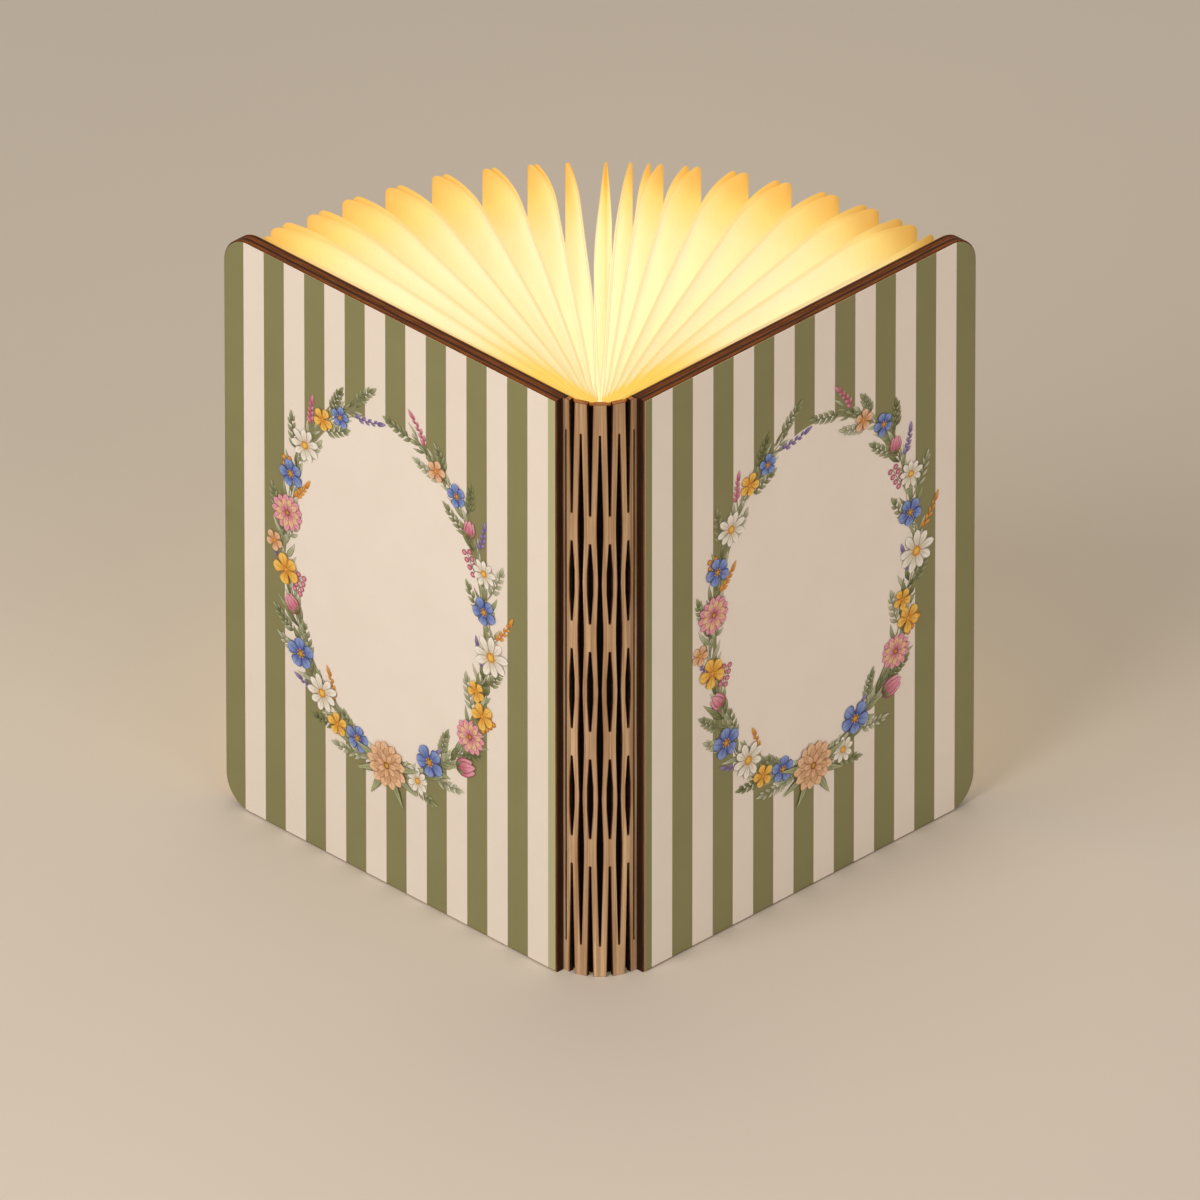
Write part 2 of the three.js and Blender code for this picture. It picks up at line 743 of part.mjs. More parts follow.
function makeJumper() {
  const foot = chargeBoardFront + leadEndGap + leadRadius;
  const head = ledBoardBack - leadEndGap - leadRadius;
  const low = sensorZ + sensorLength + leadRadius;
  const high = chargeBoardTop - leadRadius;
  const middle = [jumperBow, (foot + head) / 2, (low + high) / 2];
  return makeLead('board_jumper', [[0, foot, low], middle, [0, head, high]], finishes.redLead);
}

function makeCoreTape() {
  const shape = rectangle(-tapeWidth / 2, tapeWidth / 2, housingFoot + tapeInset, housingTop - tapeInset);
  return named('core_tape', upright(shape, tapeThickness, tapeBack), finishes.tape);
}

// Assembly

const lamp = new THREE.Group();

const middleSlat = relieved(upright(slatShape(), panelThickness, -panelHalf), slatWidth, true);
const spineMiddle = named('middle_lattice_slat', middleSlat, finishes.panel);
const slatCloth = clothStrip(clothFoldInset, slatWidth - clothFoldInset);
const bindingStrip = named('binding_strip', slatCloth, finishes.cloth);
spineMiddle.position.x = -slatWidth / 2;
bindingStrip.position.x = -slatWidth / 2;
lamp.add(spineMiddle, bindingStrip);

for (const [word, side] of [['left', -1], ['right', 1]]) {
  const slatTurn = new THREE.Group();
  slatTurn.position.x = side * slatWidth / 2;
  slatTurn.rotation.z = side * bendAngle;
  slatTurn.add(named(`${word}_lattice_slat`, handed(middleSlat, side), finishes.panel));
  slatTurn.add(named(`${word}_spine_cloth`, handed(slatCloth, side), finishes.cloth));
  const coverTurn = makeCover(word, side);
  coverTurn.position.x = side * slatWidth;
  coverTurn.rotation.z = side * bendAngle;
  slatTurn.add(coverTurn);
  lamp.add(slatTurn);
}

lamp.add(makeLeaves());
lamp.add(makeCoreTape());
lamp.add(makeHousing(), makeDiffuser(), makeTopCap(), makeBottomCap());
lamp.add(makeLedBoard(), makeChargeBoard(), makeSocket(), makeSensor(), makeIndicator(), makeCell());
for (let index = 0; index < ledCount; index += 1) {
  lamp.add(makeLed(index));
}
lamp.add(makeBatteryLead('battery_lead_positive', 1, finishes.redLead));
lamp.add(makeBatteryLead('battery_lead_negative', -1, finishes.blackLead));
lamp.add(makeJumper());

// The origin lies on the standing surface, under the middle of the lamp's outer size
lamp.updateMatrixWorld(true);
const extent = new THREE.Box3().setFromObject(lamp, true);
const middle = extent.getCenter(new THREE.Vector3());
lamp.position.set(-middle.x, -middle.y, -extent.min.z);

export default lamp;
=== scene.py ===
# %% [markdown]
# # A folding book lamp
#
# The lamp looks like a hardback book. Opening its covers fans out folded paper leaves, and a light core up the
# spine makes them glow. The solids of the lamp come in first and stay where they are: every piece made here is
# built round them, so that it sits on the part that really carries it.

# %% Load the frame
import json
import math
import random

import bmesh
import bpy
from mathutils import Matrix, Vector, noise


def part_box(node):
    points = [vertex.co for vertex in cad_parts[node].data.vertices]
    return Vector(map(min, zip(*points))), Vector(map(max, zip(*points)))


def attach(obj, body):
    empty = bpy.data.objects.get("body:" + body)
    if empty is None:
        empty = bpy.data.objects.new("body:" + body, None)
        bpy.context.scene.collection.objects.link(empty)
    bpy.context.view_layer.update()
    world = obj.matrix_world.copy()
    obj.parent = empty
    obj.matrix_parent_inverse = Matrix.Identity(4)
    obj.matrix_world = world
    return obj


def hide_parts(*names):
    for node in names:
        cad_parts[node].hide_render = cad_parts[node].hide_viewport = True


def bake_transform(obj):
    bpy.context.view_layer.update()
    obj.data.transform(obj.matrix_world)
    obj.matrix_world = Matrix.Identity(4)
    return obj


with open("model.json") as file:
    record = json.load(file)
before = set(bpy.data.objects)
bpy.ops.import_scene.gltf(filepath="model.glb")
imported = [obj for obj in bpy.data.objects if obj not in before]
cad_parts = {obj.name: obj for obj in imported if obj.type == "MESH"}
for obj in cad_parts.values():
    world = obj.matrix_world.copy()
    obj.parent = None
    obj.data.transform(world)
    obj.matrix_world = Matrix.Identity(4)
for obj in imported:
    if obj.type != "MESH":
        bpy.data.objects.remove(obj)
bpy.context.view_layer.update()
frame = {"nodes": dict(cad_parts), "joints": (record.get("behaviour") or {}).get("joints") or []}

# %% [markdown]
# ## The lines that the lamp bends on
#
# The spine is a living hinge: thin plywood, cut through by rows of slots, that bends along four upright lines.
# Everything else can be placed from those lines, so they are read from the joints. A flat plan is easiest to draw
# in, so each side has spread-out coordinates: `across` from the middle of the spine to the fore-edge, `inward`
# from the middle of the panel, and height. One function then bends a flat point to where it stands.

# %% Bend lines and spread-out coordinates
MM = 0.001
SIDES = {"left": -1, "right": 1}

joints = {joint["name"]: joint for joint in frame["joints"]}
inner_line = Vector(joints["right_spine_bend"]["pos_m"])
outer_line = Vector(joints["right_cover_bend"]["pos_m"])
slat_width = 2 * inner_line.x
bend_angle = math.atan2(outer_line.y - inner_line.y, outer_line.x - inner_line.x)
half_opening = 2 * bend_angle
inner_across = slat_width / 2
outer_across = 1.5 * slat_width
book_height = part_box("right_outer_board")[1].z
bend_reach = 1.6 * MM
panel_half = 1.1 * MM
weld_distance = 0.002 * MM


def smooth(share):
    share = min(max(share, 0), 1)
    return share * share * (3 - 2 * share)


def turn_about(point, line, angle):
    return Matrix.Rotation(angle, 3, "Z") @ (point - line) + line


def standing(across, inward, height, side=1):
    """Where a point of the spread-out lamp is once both sides are bent to their resting angle."""
    point = Vector((across, inner_line.y + inward, height))
    near = Vector((inner_line.x, inner_line.y, 0))
    far = Vector((outer_across, inner_line.y, 0))
    bend_far = smooth((across - outer_across + bend_reach) / (2 * bend_reach))
    bend_near = smooth((across - inner_across + bend_reach) / (2 * bend_reach))
    point = turn_about(point, far, bend_angle * bend_far)
    point = turn_about(point, near, bend_angle * bend_near)
    return Vector((side * point.x, point.y, point.z))


print("bend lines at", [round(v / MM, 2) for v in (inner_across, outer_across)], "mm from the middle")

# %% [markdown]
# ## The camera
#
# The photograph is taken from a long way off with a long lens, so that the upright lines stay parallel, and from
# about 31 degrees above. The camera looks at the top of the spine, moved down the picture until the lamp is framed.

# %% Camera
camera_height_angle = math.radians(31)
camera_distance = 16
frame_width = 0.385
sensor = 36
farthest_seen = 60
drop_in_frame = 0.0625

spine_top = Vector((0, inner_line.y - panel_half, book_height))
camera_back = Vector((0, -math.cos(camera_height_angle), math.sin(camera_height_angle)))
camera_up = Vector((0, math.sin(camera_height_angle), math.cos(camera_height_angle)))

camera_data = bpy.data.cameras.new("camera")
camera_data.sensor_width = sensor
camera_data.lens = sensor * camera_distance / frame_width
camera_data.clip_end = farthest_seen
camera = bpy.data.objects.new("camera", camera_data)
camera.location = spine_top - camera_up * drop_in_frame + camera_back * camera_distance
camera.rotation_euler = (-camera_back).to_track_quat("-Z", "Y").to_euler()
bpy.context.scene.collection.objects.link(camera)
bpy.context.scene.camera = camera
print("lens", round(camera_data.lens), "mm at", camera_distance, "m")

# %% [markdown]
# ## Writing finishes as sums
#
# A finish is a small network of nodes. Written node by node it is hard to read, so one class wraps an output
# socket and gives it `+`, `-`, `*` and `/`: a sum of wrapped values adds its Math nodes by itself. Every other
# node comes from `Finish.add`, which takes the node's type, its settings and what goes into its sockets. A colour
# is written as six hexadecimal digits wherever one is fed in.

# %% The shader helpers
def paint(code):
    """A colour written as six hexadecimal digits, as the linear light that shaders work in."""
    parts = [int(code[start:start + 2], 16) / 255 for start in (0, 2, 4)]
    return [c / 12.92 if c <= 0.04045 else ((c + 0.055) / 1.055) ** 2.4 for c in parts] + [1]


class Value:
    """One output of a node, for use in Python sums."""

    def __init__(self, finish, socket):
        self.finish = finish
        self.socket = socket

    def math(self, operation, *others, clamp=False):
        return self.finish.math(operation, self, *others, clamp=clamp)

    def __add__(self, other):
        return self.math("ADD", other)

    __radd__ = __add__

    def __sub__(self, other):
        return self.math("SUBTRACT", other)

    def __rsub__(self, other):
        return self.finish.math("SUBTRACT", other, self)

    def __mul__(self, other):
        return self.math("MULTIPLY", other)

    __rmul__ = __mul__

    def __truediv__(self, other):
        return self.math("DIVIDE", other)

    def __abs__(self):
        return self.math("ABSOLUTE")


class Finish:
    """A material whose surface is one Principled shader."""

    def __init__(self, name, **numbers):
        self.material = bpy.data.materials.new(name)
        self.material.use_nodes = True
        self.tree = self.material.node_tree
        self.shader = self.tree.nodes["Principled BSDF"]
        for word, number in numbers.items():
            self.shader.inputs[word.replace("_", " ").title().replace("Ior", "IOR")].default_value = number

    def feed(self, socket, value):
        if isinstance(value, Value):
            self.tree.links.new(value.socket, socket)
        else:
            socket.default_value = paint(value) if isinstance(value, str) else value

    def add(self, kind, settings=None, inputs=None, output=0):
        node = self.tree.nodes.new("ShaderNode" + kind)
        for word, setting in (settings or {}).items():
            if word == "stops":
                ramp = node.color_ramp
                while len(ramp.elements) < len(setting):
                    ramp.elements.new(1)
                for element, (place, colour) in zip(ramp.elements, setting):
                    element.position = place
                    element.color = paint(colour)
            else:
                setattr(node, word, setting)
        for key, value in (inputs or {}).items():
            self.feed(node.inputs[key], value)
        return Value(self, node.outputs[output])

    def math(self, operation, *values, clamp=False):
        return self.add("Math", {"operation": operation, "use_clamp": clamp}, dict(enumerate(values)))

    def mix(self, share, first, second, blend="MIX"):
        settings = {"data_type": "RGBA", "blend_type": blend, "clamp_factor": True}
        return self.add("Mix", settings, {0: share, 6: first, 7: second}, output=2)

    def between(self, value, low, high):
        """0 below low, 1 above high, and a smooth step from one to the other."""
        settings = {"interpolation_type": "SMOOTHSTEP", "clamp": True}
        return self.add("MapRange", settings, {0: value, 1: low, 2: high, 3: 0.0, 4: 1.0})

    def place(self):
        return self.add("TexCoord", output="Object")

    def parts(self, vector):
        return [self.add("SeparateXYZ", inputs={0: vector}, output=axis) for axis in range(3)]

    def vector(self, x, y, z):
        return self.add("CombineXYZ", inputs={0: x, 1: y, 2: z})

    def noise(self, vector, scale, detail=3.0, roughness=0.5):
        return self.add("TexNoise", inputs={"Vector": vector, "Scale": scale, "Detail": detail, "Roughness": roughness})

    def grain(self, across, up, detail=5.0, roughness=0.6):
        """Noise with so many repeats per metre across the lamp and up it."""
        x, y, z = self.parts(self.place())
        return self.noise(self.vector(x * across, y * across, z * up), 1.0, detail, roughness)

    def bump(self, height, distance, strength=1.0):
        return self.add("Bump", inputs={"Height": height, "Distance": distance, "Strength": strength})

    def wear(self, **links):
        """Feeds the surface sockets whose value changes from place to place."""
        for word, value in links.items():
            self.feed(self.shader.inputs[word.replace("_", " ").title()], value)
        return self

    def cover_places(self):
        """(across, inward, height) in metres on a standing cover, measured from its bend line, alike on both sides."""
        x, y, z = self.parts(self.place())
        out_x = abs(x) - outer_line.x
        out_y = y - outer_line.y
        c, s = math.cos(half_opening), math.sin(half_opening)
        return out_x * c + out_y * s, out_y * c - out_x * s, z


print("shader helpers ready")

# %% [markdown]
# ## Wood
#
# Both woods are thin plywood cut with a laser. The beam chars what it cuts, so a cut edge is far darker than the
# face, and the rim of the face is scorched for a hair's breadth. Grain is noise that is stretched along the height
# of the lamp. On the lattice the grain runs up the bars, because bars cut across it would snap.

# %% Wood finishes
def make_lattice_face():
    finish = Finish("lattice_face", roughness=0.62, specular_ior_level=0.3)
    streaks = finish.grain(1400.0, 22.0)
    broad = finish.grain(260.0, 9.0)
    pores = finish.between(finish.grain(3200.0, 60.0), 0.6, 0.72)
    colour = finish.mix(finish.between(streaks, 0.3, 0.7), "a9835f", "dfc29c")
    colour = finish.mix(finish.between(broad, 0.35, 0.7) * 0.6, colour, "93694a")
    colour = finish.mix(pores * 0.55, colour, "6e4a2e")
    z = finish.parts(finish.place())[2]
    colour = finish.mix(finish.between(z, 0.1, book_height) * 0.4, colour, "8c6846")
    height = streaks * 0.6 - pores * 0.8
    return finish.wear(base_color=colour, normal=finish.bump(height, 0.00012, 0.5))


def make_lattice_rim():
    finish = Finish("lattice_rim", roughness=0.7, specular_ior_level=0.25)
    streaks = finish.grain(900.0, 40.0)
    return finish.wear(base_color=finish.mix(streaks, "5e3b22", "8d6544"))


def make_lattice_end_grain_and_glow():
    """The sawn ends of the bars: end grain with fibres and darker blotches."""
    finish = Finish("lattice_end_grain_and_glow", roughness=0.65, specular_ior_level=0.25)
    fibres = finish.grain(2600, 2600, 3.0)
    blotches = finish.grain(500, 500, 2.0, 0.5)
    # Painted light: the end grain is given a warm orange for the glow of the leaves that falls on the ends; the fibres
    # and darker blotches are the wood's own.
    colour = finish.mix(finish.between(fibres, 0.3, 0.7), "8e5020", "d68a44")
    colour = finish.mix(finish.between(blotches, 0.45, 0.7) * 0.5, colour, "5a3014")
    return finish.wear(base_color=colour, normal=finish.bump(fibres, 0.0001, 0.5))


def make_charred_edge():
    finish = Finish("charred_edge", roughness=0.8, specular_ior_level=0.2)
    soot = finish.grain(500, 500, 4.0)
    colour = finish.mix(finish.between(soot, 0.3, 0.72), "1a0c06", "45240f")
    return finish.wear(base_color=colour, normal=finish.bump(soot, 0.0002, 0.6))


def make_board_edge():
    """The rim of a cover: the panel and the three plies of the board show as bands."""
    finish = Finish("board_edge", roughness=0.55, specular_ior_level=0.22)
    across, inward, z = finish.cover_places()
    band = inward / MM
    streaks = finish.noise(finish.vector(across * 75, inward * 2400, z * 75), 1.0, 5.0, 0.65)
    flecks = finish.noise(finish.vector(across * 420, inward * 4200, z * 420), 1.0, 2.0, 0.5)
    long_ply = finish.mix(finish.between(streaks, 0.28, 0.72), "4c2409", "9a561f")
    end_ply = finish.mix(finish.between(streaks, 0.3, 0.75), "2a1307", "583012")
    middle_ply = finish.between(band, -3.3, -3.15) * (1 - finish.between(band, -2.25, -2.1))
    panel_core = finish.between(band, -0.45, -0.35) * (1 - finish.between(band, 0.35, 0.45))
    colour = finish.mix(finish.math("MAXIMUM", middle_ply, panel_core), long_ply, end_ply)
    seam = finish.between(abs(band + 1.15), 0.05, 0.16)
    colour = finish.mix(1 - seam, colour, "160804")
    colour = finish.mix(finish.between(flecks, 0.6, 0.75) * 0.5, colour, "1d0c06")
    lit_rim = finish.between(band, 0.72, 0.8) * (1 - finish.between(band, 0.98, 1.04))
    colour = finish.mix(lit_rim * 0.85, colour, "e0a456")
    spine_end = 1 - finish.between(across, 0.0034, 0.0036)
    colour = finish.mix(spine_end * 0.88, colour, "180904")
    return finish.wear(base_color=colour, normal=finish.bump(streaks + flecks * 0.5, 0.0002, 0.5))


def make_board_back():
    finish = Finish("board_back", roughness=0.65, specular_ior_level=0.3)
    streaks = finish.grain(700.0, 18.0)
    colour = finish.mix(finish.between(streaks, 0.3, 0.7), "4b2614", "74432a")
    return finish.wear(base_color=colour, normal=finish.bump(streaks, 0.0001, 0.4))


lattice_face = make_lattice_face()
lattice_rim = make_lattice_rim()
lattice_end_grain_and_glow = make_lattice_end_grain_and_glow()
charred_edge = make_charred_edge()
board_edge = make_board_edge()
board_back = make_board_back()
wood_finishes = (lattice_face, lattice_rim, lattice_end_grain_and_glow, charred_edge, board_edge, board_back)
print("wood finishes:", [finish.material.name for finish in wood_finishes])

# %% [markdown]
# ## The printed cover
#
# The outer face is a satin printed sheet: broad upright stripes, green and cream, counted from the fore-edge, with
# a cream oval in the middle. Stripes are the sawtooth of the distance from the fore-edge, and the oval is the
# distance from its centre in units of its own half sizes. The narrow stripe beside the spine is paler on the left.

# %% The print finish
stripe_width = 9.27 * MM
board_far = 155.4 * MM
oval_centre = Vector((80.5 * MM, 111 * MM))
oval_half = Vector((44 * MM, 63 * MM))
print_gloss = {"roughness": 0.42, "specular_ior_level": 0.35, "coat_weight": 0.12, "coat_roughness": 0.3}


def make_print():
    finish = Finish("cover_print", **print_gloss)
    across, _, z = finish.cover_places()
    stripe = (board_far - across) / (2 * stripe_width)
    saw = finish.math("FRACT", stripe)
    edge = 0.006
    green_area = finish.between(saw, 0.0, edge) * (1 - finish.between(saw, 0.5 - edge / 2, 0.5 + edge / 2))
    mottle = finish.grain(60, 60, 3.0, 0.5)
    tooth = finish.grain(2600, 2600, 2.0, 0.5)
    green = finish.mix(mottle, "828056", "8d8a5e")
    x = finish.parts(finish.place())[0]
    pale = finish.between(x, -outer_line.x - 0.009, -outer_line.x - 0.0089) * (1 - finish.between(x, -0.001, 0.0))
    green = finish.mix(pale * 0.7, green, "c6c69c")
    cream = finish.mix(mottle, "ece2d8", "f2eae1")
    colour = finish.mix(green_area, cream, green)
    du = (across - oval_centre.x) / oval_half.x
    dz = (z - oval_centre.y) / oval_half.y
    round_distance = finish.math("SQRT", du * du + dz * dz)
    inside = 1 - finish.between(round_distance, 0.995, 1.005)
    colour = finish.mix(inside, colour, finish.mix(mottle, "f0e7de", "f6efe7"))
    colour = finish.mix((tooth - 0.5) * 0.10, colour, "5b5245")
    return finish.wear(
        base_color=colour,
        roughness=0.36 + mottle * 0.12,
        normal=finish.bump(tooth, 0.00004, 0.35),
    )


cover_print = make_print()
print("stripes of", round(stripe_width / MM, 2), "mm, oval", [round(2 * v / MM) for v in oval_half], "mm")

# %% [markdown]
# ## Paper, cloth and what glows
#
# The leaves are a tough translucent paper. Lit from the spine, they are nearly white next to the core and amber at
# the tips. Light that has passed through many sheets is costly to trace and comes out noisy, so the glow is written
# down instead: the colour and strength of what the paper gives off follow its distance from the spine.
# The cloth behind the lattice is dark, but the light from inside shows through its hem at the top.

# %% Paper, cloth and glow finishes
leaf_reach = 154.5 * MM
core_depth = 5 * MM
lit_hem_low = book_height - 1.9 * MM
lit_hem_high = book_height - 0.9 * MM
page_foot = 1.2 * MM
page_head = book_height - page_foot


def from_spine(finish):
    """Distance in plan from the light core's axis, as a share of a leaf's length."""
    x, y, _ = finish.parts(finish.place())
    out_y = y - (inner_line.y + core_depth)
    return finish.math("SQRT", x * x + out_y * out_y) / leaf_reach


def make_page_paper():
    finish = Finish("page_paper", roughness=0.85, specular_ior_level=0.15, emission_strength=1.0)
    x, _, z = finish.parts(finish.place())
    along = finish.add("Attribute", {"attribute_name": "along"}, output="Fac")
    fibres = finish.grain(900, 260, 4.0)
    cloud = finish.grain(45, 30, 2.0, 0.5)
    depth = finish.math("MINIMUM", z - page_foot, page_head - z)
    place = along - finish.between(depth, -0.008, 0.042) * 0.24 + 0.02 + (cloud - 0.5) * 0.06
    glow = finish.add("ValToRGB", {"stops": [
        (0.0, "e7dba8"), (0.35, "f3eab8"), (0.62, "faf1c0"), (0.78, "fff1b6"),
        (0.9, "ffdf80"), (0.96, "efb952"), (1.0, "eaa93e"),
    ]}, {0: place})
    sideways = x / (from_spine(finish) * leaf_reach)
    beside_cover = finish.between(abs(sideways), 0.5, 0.7)
    near_root = 1 - finish.between(along, 0.12, 0.45)
    glow = finish.mix(beside_cover * near_root * 0.9, glow, "eecb30")
    central = 1 - finish.between(abs(sideways), 0.04, 0.42)
    before_tip = 1 - finish.between(along, 0.6, 1.0)
    glow = finish.mix(central * before_tip * 0.55, glow, "fff3cc")
    # Painted shade: a darker amber along each layer's top and foot edge, for the shade in the crease where one leaf
    # touches the next.
    painted_contact_shade = 1 - finish.between(depth, 0.0002, 0.0016)
    glow = finish.mix(painted_contact_shade * 0.38, glow, "f0bc50")
    glow = finish.mix(finish.between(fibres, 0.45, 0.8) * 0.1, glow, "d9953f")
    right_tips = finish.between(sideways, 0.35, 0.75) * finish.between(along, 0.86, 1.0)
    strength = 0.625 + central * 0.05 + finish.between(sideways, -0.1, 0.3) * 0.06 - right_tips * 0.2
    glow = finish.add("VectorMath", {"operation": "SCALE"}, {0: glow, 3: strength})
    # Painted light in the diffuse colour as well: the sheet's pale colour is tinted like its glow, amber towards the
    # tips and beside the cover near the root, and darker at the right-hand tips.
    sheet = finish.mix(finish.between(along, 0.6, 1.0), "b8a982", "b9934f")
    sheet = finish.mix(beside_cover * near_root * 0.7, sheet, "c4a044")
    sheet = finish.mix(right_tips * 0.7, sheet, "7c5a26")
    return finish.wear(
        base_color=finish.mix(cloud * 0.25, sheet, "d8cba8"),
        emission_color=glow,
        normal=finish.bump(fibres, 0.0001, 0.3),
    )


def make_lining_paper():
    finish = Finish("lining_paper", roughness=0.8, specular_ior_level=0.2, emission_strength=0.5)
    fibres = finish.grain(700, 700, 4.0)
    # Painted light: the lining gives off a warm glow, strongest near the spine, for the light of the leaves falling on
    # it. The cut rim of the printed sheet has this finish, so it glows too.
    glow = finish.mix(from_spine(finish), "a0702c", "4a2c10")
    return finish.wear(
        base_color=finish.mix(fibres, "e9c594", "f2d6ab"),
        emission_color=glow,
        normal=finish.bump(fibres, 0.0001, 0.4),
    )


def make_dark_cloth():
    finish = Finish("dark_cloth", roughness=0.95, specular_ior_level=0.1, emission_strength=0.4)
    x, y, z = finish.parts(finish.place())
    threads_up = finish.math("SINE", z * 9000)
    threads_across = finish.math("SINE", (x + y) * 9000)
    weave = threads_up * threads_across
    colour = finish.mix(finish.between(weave, -0.6, 0.6), "0c0806", "1d1510")
    lit_hem = finish.between(z, lit_hem_low, lit_hem_high)
    return finish.wear(
        base_color=finish.mix(lit_hem, colour, "9c5c28"),
        emission_color=finish.mix(lit_hem, "000000", "c87a30"),
        normal=finish.bump(weave, 0.00005, 0.4),
    )


page_paper = make_page_paper()
lining_paper = make_lining_paper()
dark_cloth = make_dark_cloth()
print("paper and cloth finishes ready")

# %% [markdown]
# ## Plates cut from sheet
#
# Boards, panels, linings, prints, bars and cloth are all flat sheets cut to an outline. Each is drawn as flat faces
# in spread-out coordinates, made thick, has its sharp rims taken off, and is then bent to where it stands. Faces
# are sorted by the way they look: the two flats, the rims and the cut walls can each have a finish of their own.

# %% Plate helpers
def link(name, mesh_maker, finishes):
    mesh = bpy.data.meshes.new(name)
    mesh_maker.to_mesh(mesh)
    mesh_maker.free()
    for finish in finishes:
        mesh.materials.append(finish.material)
    piece = bpy.data.objects.new(name, mesh)
    bpy.context.scene.collection.objects.link(piece)
    return piece


def thicken(plan, inward_low, inward_high, rim, seams=(), rim_steps=1, sawn_ends=False):
    """Makes flat faces, drawn with x across and z up, into a closed plate. Edges at a seam keep their corner.

    Its finishes are for the outer face, the rims, the cut walls, the inner face and, if sawn_ends, the top and foot.
    """
    bmesh.ops.remove_doubles(plan, verts=plan.verts, dist=weld_distance)
    bmesh.ops.recalc_face_normals(plan, faces=plan.faces)
    if sum(face.normal.y * face.calc_area() for face in plan.faces) > 0:
        bmesh.ops.reverse_faces(plan, faces=plan.faces)
    for vertex in plan.verts:
        vertex.co.y = inward_low
    outer = list(plan.faces)
    made = bmesh.ops.duplicate(plan, geom=outer)
    copies = [item for item in made["geom"] if isinstance(item, bmesh.types.BMFace)]
    lifted = {vertex for face in copies for vertex in face.verts}
    for vertex in lifted:
        vertex.co.y = inward_high
    bmesh.ops.reverse_faces(plan, faces=copies)
    twins = dict(made["vert_map"].items())
    border = [edge for edge in plan.edges if len(edge.link_faces) == 1 and edge.verts[0] not in lifted]
    for edge in border:
        loop = edge.link_loops[0]
        start, end = loop.vert, loop.link_loop_next.vert
        plan.faces.new((end, start, twins[start], twins[end]))
    sharp = []
    for edge in plan.edges:
        kinds = {round(abs(face.normal_update() or face.normal.y)) for face in edge.link_faces}
        middle = (edge.verts[0].co.x + edge.verts[1].co.x) / 2
        if kinds == {0, 1} and all(abs(middle - seam) > 0.01 * MM for seam in seams):
            sharp.append(edge)
    if rim > 0:
        bmesh.ops.bevel(plan, geom=sharp, offset=rim, segments=rim_steps, affect="EDGES", profile=0.5)
    plan.normal_update()
    for face in plan.faces:
        facing = abs(face.normal.y)
        face.material_index = 0 if facing > 0.95 and face.normal.y < 0 else 3 if facing > 0.95 else 1
        if facing < 0.2:
            face.material_index = 4 if sawn_ends and abs(face.normal.z) > 0.98 else 2
    return plan


def stand_up(plan, side):
    for vertex in plan.verts:
        vertex.co = standing(vertex.co.x, vertex.co.y, vertex.co.z, side)
    if side < 0:
        bmesh.ops.reverse_faces(plan, faces=plan.faces)
    return plan


def arc(centre_x, centre_z, radius, start, end, steps):
    return [
        (centre_x + radius * math.cos(start + (end - start) * n / steps),
         centre_z + radius * math.sin(start + (end - start) * n / steps))
        for n in range(steps + 1)
    ]


def cover_outline(left, right, low, high, radius, steps=14):
    corner = math.pi / 2
    return [
        (left, low),
        *arc(right - radius, low + radius, radius, -corner, 0, steps),
        *arc(right - radius, high - radius, radius, 0, corner, steps),
        (left, high),
    ]


def fill_outline(points):
    plan = bmesh.new()
    plan.faces.new([plan.verts.new((x, 0, z)) for x, z in points])
    return plan


print("plate helpers ready")

# %% [markdown]
# ## The covers
#
# A cover is a sandwich: the printed sheet, the dark board, the panel that grows out of the lattice, and a lining.
# The sandwich's sizes come from the solids, read along the normal of the standing cover.

# %% Cover plates
corner_radius = 11 * MM
board_near = 3.4 * MM
layer = {
    "print_sheet": (-4.55 * MM, -4.3 * MM),
    "outer_board": (-4.2 * MM, -1.2 * MM),
    "inner_panel": (-panel_half, panel_half),
    "lining": (1.2 * MM, 1.6 * MM),
}
print_inset = 0.5 * MM
lining_inset = 3 * MM
lining_near = 6 * MM
panel_near = 2.6 * MM


def make_cover_plate(word, kind, near, inset, rim, rim_steps, finishes, slot_name):
    radius = corner_radius - inset
    outline = cover_outline(
        outer_across + near, outer_across + board_far - inset, inset, book_height - inset, radius,
    )
    seams = (outer_across + near,) if kind == "inner_panel" else ()
    plan = thicken(fill_outline(outline), *layer[kind], rim, seams, rim_steps)
    piece = link(f"{word}_{kind}_finished", stand_up(plan, SIDES[word]), finishes)
    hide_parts(f"{word}_{kind}")
    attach(piece, f"{word}_cover")


cover_plates = {
    "outer_board": (board_near, 0, 0.22 * MM, 2, [board_back, board_edge, board_edge, board_back], "dark_board"),
    "print_sheet": (
        board_near + print_inset, print_inset, 0.08 * MM, 1, [cover_print, cover_print, lining_paper, board_back],
        "printed_cover",
    ),
    "inner_panel": (panel_near, 0, 0.18 * MM, 1, [lattice_face, board_edge, board_edge, lattice_face], "lattice_ply"),
    "lining": (lining_near, lining_inset, 0.05 * MM, 1, [lining_paper] * 4, "lining_paper"),
}
for word in SIDES:
    for kind, plate in cover_plates.items():
        make_cover_plate(word, kind, *plate)
print("covers", round(board_far / MM, 1), "mm from bend line to fore-edge, radius", corner_radius / MM, "mm")

# %% [markdown]
# ## Ink for the garland
#
# A garland of plain folk flowers is printed round the oval. A picture file would be the quick way, but it blurs
# close up. Here each petal is its own thin patch, a hair's breadth thick, so its outline stays sharp at any size.
# Every corner of a patch carries two numbers: how far it lies along the petal, and how near the rim. One ink
# finish turns these into a wash from deep to light, with a drawn outline and a vein down the middle.

